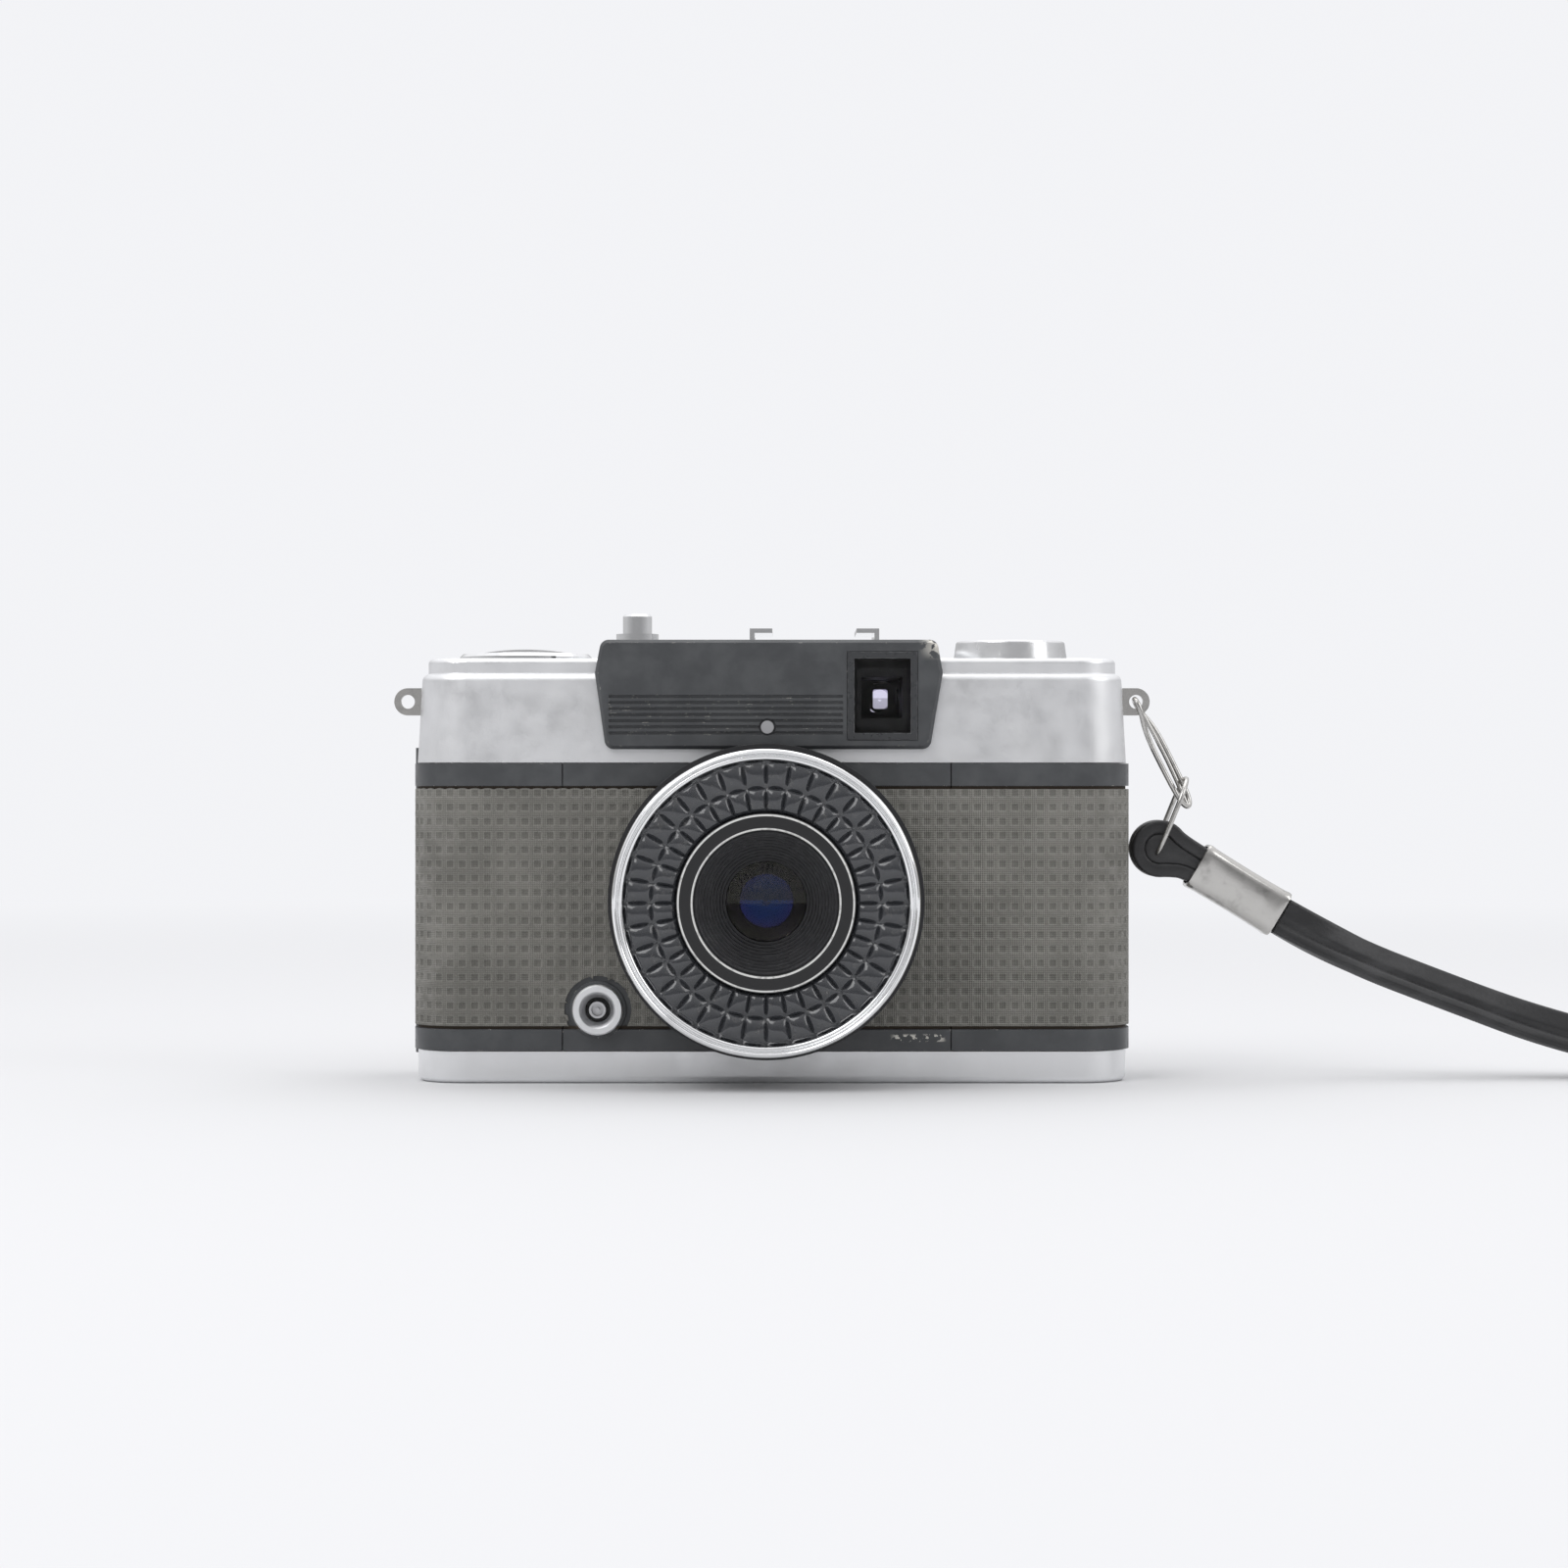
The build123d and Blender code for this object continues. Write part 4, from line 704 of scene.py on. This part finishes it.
# ---------------------------------------------------------------- lens
def bezel():
    """Chromed bezel with a double rolled rim and a fine groove between."""
    front, back = LENS_BOX[0].y, LENS_BOX[1].y
    inner = 21.5 * MM
    rim = ((0, 0.9), (0.12, 0.55), (0.3, 0.35), (0.55, 0.3), (0.75, 0.4), (0.86, 0.62), (0.93, 0.62),
           (0.98, 0.25), (1.1, 0.07), (1.3, 0), (1.5, 0.07))
    profile = [(inner, back)] + [(inner + out * MM, front + deep * MM) for out, deep in rim]
    profile += [(BEZEL_R - 0.08 * MM, front + 0.35 * MM), (BEZEL_R, front + 0.7 * MM),
                (BEZEL_R, back - 0.4 * MM), (BEZEL_R - 0.2 * MM, back - 0.1 * MM),
                (BEZEL_R - 0.4 * MM, back)]
    verts, faces = turned(profile, LENS_X, LENS_Z, 220)
    return piece("bezel", verts, faces, "camera_body", "chrome_trim", replaced=["bezel_ring"])


def lenslets():
    """Two rows of pillow-shaped lenslets on a ring, with a flat back."""
    low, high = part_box("lenslet_window")
    front, back = low.y, high.y
    count, fine = 36, 10
    edges = [13.65 * MM, 17.35 * MM, 21.45 * MM]
    radii, across = [], []
    for inner, outer in zip(edges, edges[1:]):
        for k in range(fine + 1):
            radii.append(inner + (outer - inner) * k / fine)
            across.append(2 * k / fine - 1)
    base, rise = front + 0.85 * MM, 0.85 * MM
    rings = []
    for i in range(count * fine):
        a = 2 * math.pi * i / (count * fine)
        round_cell = 2 * (i % fine) / fine - 1
        ring = []
        for r, u in zip(radii, across):
            pillow = max(0.0, (1 - abs(u) ** 2.4) * (1 - abs(round_cell) ** 2.4)) ** 0.62
            ring.append((LENS_X + r * math.cos(a), base - rise * pillow, LENS_Z + r * math.sin(a)))
        for r in (edges[2], edges[0]):
            ring.append((LENS_X + r * math.cos(a), back, LENS_Z + r * math.sin(a)))
        rings.append(ring)
    verts, faces = skin(rings, closed_run=True)
    return piece("lenslets", verts, faces, "camera_body", "clear_plastic", lenslet_plastic(),
                 ["lenslet_window"], 50)


def stepped_barrel():
    """Funnel of fine steps from the name ring down to the front lens."""
    low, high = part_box("inner_barrel")
    front, back = low.y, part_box("front_lens")[0].y - 0.15 * MM
    outer, inner, steps = 10.85 * MM, 6.2 * MM, 9
    profile = [(outer, front)]
    for i in range(steps):
        r = outer - 0.35 * MM - (outer - inner - 0.4 * MM) * i / steps
        y0 = front + (back - front) * i / steps
        y1 = front + (back - front) * (i + 1) / steps
        profile += [(r, y0), (r - 0.12 * MM, y0 + 0.12 * MM), (r - 0.12 * MM, y1)]
    profile += [(inner, back), (inner, high.y), (outer, high.y)]
    verts, faces = turned(profile, LENS_X, LENS_Z, 128)
    return piece("stepped_barrel", verts, faces, "camera_body", "black_anodised",
                 replaced=["inner_barrel"], sharp=25)


def socket_ring():
    """Satin ring of the flash socket, dished inside down to the contact."""
    low, high = FLASH_BOX
    front, back, outer = low.y, high.y, (high.x - low.x) / 2
    profile = [(outer, back), (outer, front + 0.25 * MM), (outer - 0.2 * MM, front), (2.85 * MM, front),
               (2.6 * MM, front + 0.2 * MM), (2.3 * MM, front + 0.8 * MM), (1.95 * MM, front + 1.2 * MM),
               (1.95 * MM, back)]
    verts, faces = turned(profile, FLASH_X, FLASH_Z, 96)
    return piece("socket_ring", verts, faces, "camera_body", "chrome_trim", FINISH["satin_metal"],
                 ["flash_socket"])


socket_ring()
bezel()
lenslets()
stepped_barrel()


# ---------------------------------------------------------------- leatherette
def dimples(along, up):
    """Depth of the pattern, 0 on top and 1 at the bottom of a dimple."""
    def inside(value, pitch, half):
        away = abs((value / pitch) % 1.0 - 0.5)
        return min(1.0, max(0.0, (half + 0.05 - away) / 0.1))
    return inside(along, PITCH_ALONG, 0.28) * inside(up, PITCH_UP, 0.25)


def embossed(name, outline, normals, heights, body, replaced, holes=()):
    """Leatherette skin over a run of (x, y) points with outward normals, between two heights.

    holes are (x, z, radius) in the front face. The skin's rim is turned in by skirt.
    """
    depth, fine, snap, skirt = 0.2 * MM, 8, 0.4 * MM, 0.42 * MM
    low, high = heights
    rows = int(round((high - low) / PITCH_UP * fine))
    along = [0.0]
    for a, b in zip(outline, outline[1:]):
        along.append(along[-1] + math.dist(a, b))
    verts, uvs, gone = [], [], set()
    for s, (x, y), (nx, ny) in zip(along, outline, normals):
        for j in range(rows + 1):
            px, pz = x, low + (high - low) * j / rows
            for cx, cz, r in holes:
                away = math.hypot(px - cx, pz - cz)
                if y < 0 and 0 < away < r:
                    if away > r - snap:
                        px, pz = cx + (px - cx) * r / away, cz + (pz - cz) * r / away
                    else:
                        gone.add(len(verts))
            down = depth * dimples(s, pz)
            verts.append((px - nx * down, y - ny * down, pz))
            uvs.append((s, pz))
    size = rows + 1
    faces = []
    for i in range(len(outline) - 1):
        for j in range(rows):
            face = (i * size + j, (i + 1) * size + j, (i + 1) * size + j + 1, i * size + j + 1)
            if not gone.intersection(face):
                faces.append(face)
    made = piece(name, verts, faces, body, "leatherette", replaced=replaced, sharp=70)
    mesh = made.data
    layer = mesh.uv_layers.new(name="weave")
    for loop in mesh.loops:
        layer.data[loop.index].uv = uvs[loop.vertex_index]
    work = bmesh.new()
    work.from_mesh(mesh)
    loose = [v for v in work.verts if not v.link_faces]
    bmesh.ops.delete(work, geom=loose, context="VERTS")
    rim = [e for e in work.edges if e.is_boundary]
    ways = {v.index: v.normal.copy() for v in work.verts}
    grown = bmesh.ops.extrude_edge_only(work, edges=rim)["geom"]
    for v in grown:
        if isinstance(v, bmesh.types.BMVert):
            others = (e.other_vert(v) for e in v.link_edges)
            near = min(others, key=lambda w: (w.co - v.co).length)
            v.co = v.co - skirt * ways.get(near.index, near.normal)
    work.to_mesh(mesh)
    work.free()
    return made


def wrap_outline(box):
    """Points and normals round the front of the body's plan, from one end to the other."""
    low, high = box
    corner, step = 8.0 * MM, PITCH_ALONG / 8
    hinge_room = 1.6 * MM
    x0, x1, y0 = low.x, high.x, low.y
    legs = []
    for k in range(int((high.y - hinge_room - y0 - corner) / step) + 1):
        legs.append(((x0, high.y - hinge_room - k * step), (-1, 0)))
    turn = int(corner * math.pi / 2 / step)
    for k in range(turn):
        a = math.radians(90) * k / turn
        legs.append(((x0 + corner - corner * math.cos(a), y0 + corner - corner * math.sin(a)),
                     (-math.cos(a), -math.sin(a))))
    run = int((x1 - x0 - 2 * corner) / step)
    for k in range(run):
        legs.append(((x0 + corner + (x1 - x0 - 2 * corner) * k / run, y0), (0, -1)))
    for k in range(turn + 1):
        a = math.radians(90) * (1 - k / turn)
        legs.append(((x1 - corner + corner * math.cos(a), y0 + corner - corner * math.sin(a)),
                     (math.cos(a), -math.sin(a))))
    for k in range(1, int((high.y - y0 - corner) / step) + 1):
        legs.append(((x1, y0 + corner + k * step), (1, 0)))
    return [p for p, _ in legs], [n for _, n in legs]


wrap_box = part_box("leatherette_front")
points, normals = wrap_outline(wrap_box)
holes = ((LENS_X, LENS_Z, 22.8 * MM), (FLASH_X, FLASH_Z, 5.2 * MM))
embossed("leather_wrap", points, normals, (wrap_box[0].z, wrap_box[1].z), "camera_body",
         ["leatherette_front"], holes)
back_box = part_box("leatherette_back")
count = int((back_box[1].x - back_box[0].x) / (PITCH_ALONG / 8))
back_points = [(back_box[1].x - (back_box[1].x - back_box[0].x) * k / count, back_box[1].y)
               for k in range(count + 1)]
embossed("leather_back", back_points, [(0, 1)] * (count + 1), (back_box[0].z, back_box[1].z), "door",
         ["leatherette_back"])


# ---------------------------------------------------------------- counter numbers and finder mask
def counter_marks():
    """Generic numbers and ticks on the frame counter."""
    low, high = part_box("counter_dial")
    cx, cy, top = (low.x + high.x) / 2, (low.y + high.y) / 2, high.z + 0.02 * MM
    paint = plain("counter_white", (0.78, 0.77, 0.72), 0.5)
    verts, faces = [], []

    def add(more, extra):
        faces.extend(tuple(k + len(verts) for k in face) for face in extra)
        verts.extend(more)

    radius = (high.x - low.x) / 2
    for i in range(36):
        a = 2 * math.pi * i / 36
        out = Vector((math.cos(a), math.sin(a), 0))
        side = Vector((-out.y, out.x, 0)) * 0.09 * MM
        inner = radius - (1.3 if i % 6 == 0 else 0.8) * MM
        corners = [out * inner - side, out * (radius - 0.25 * MM) - side,
                   out * (radius - 0.25 * MM) + side, out * inner + side]
        flat = [Vector((cx, cy, top)) + c for c in corners]
        add(flat, [(0, 1, 2, 3)])
    for i in range(6):
        a = 2 * math.pi * i / 6
        text = bpy.data.curves.new("number", "FONT")
        text.body = str(12 * i)
        text.size = 2.3 * MM
        text.align_x = text.align_y = "CENTER"
        holder = bpy.data.objects.new("number", text)
        bpy.context.scene.collection.objects.link(holder)
        mesh = bpy.data.meshes.new_from_object(holder)
        turn = Matrix.Rotation(a + math.pi / 2, 4, "Z")
        place = Matrix.Translation((cx + 4.7 * MM * math.cos(a), cy + 4.7 * MM * math.sin(a), top))
        mesh.transform(place @ turn)
        add([v.co.copy() for v in mesh.vertices], [tuple(p.vertices) for p in mesh.polygons])
        bpy.data.objects.remove(holder)
    piece("counter_marks", verts, faces, "counter", "counter_dial", paint)


def finder_mask():
    """Thin mask with a small rounded window, which frames the view through the finder."""
    low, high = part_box("finder_lens")
    x, z, y = (low.x + high.x) / 2, (low.z + high.z) / 2, 12 * MM
    outside, window, thick = (3.15, 3.15, 0.4), (1.5, 2.0, 0.45), 0.4
    rings = []
    for shape, depth in ((outside, 0), (window, 0), (window, thick), (outside, thick)):
        rings.append([(x + a * MM, y + depth * MM, z + b * MM) for a, b in rounded_box(*shape)])
    verts, faces = skin(rings, closed_run=True)
    piece("finder_mask", verts, faces, "camera_body", "black_plastic")


def button_spring():
    """Coil spring under the button, with a mesh of its own."""
    low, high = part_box("release_spring")
    cx, cy = (low.x + high.x) / 2, (low.y + high.y) / 2
    thick = 0.25 * MM
    radius, turns, fine = (high.x - low.x) / 2 - thick, 6.7, 24
    steps = int(turns * fine)
    rise = high.z - low.z - 2 * thick
    line = []
    for i in range(steps + 1):
        a = 2 * math.pi * i / fine
        line.append(Vector((cx + radius * math.cos(a), cy + radius * math.sin(a),
                            low.z + thick + rise * i / steps)))
    verts, faces = wire(line, thick, closed=False, sides=8)
    made = piece("button_spring", verts, faces, "camera_body", "steel_small", replaced=["release_spring"])
    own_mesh(made)


counter_marks()
finder_mask()
button_spring()
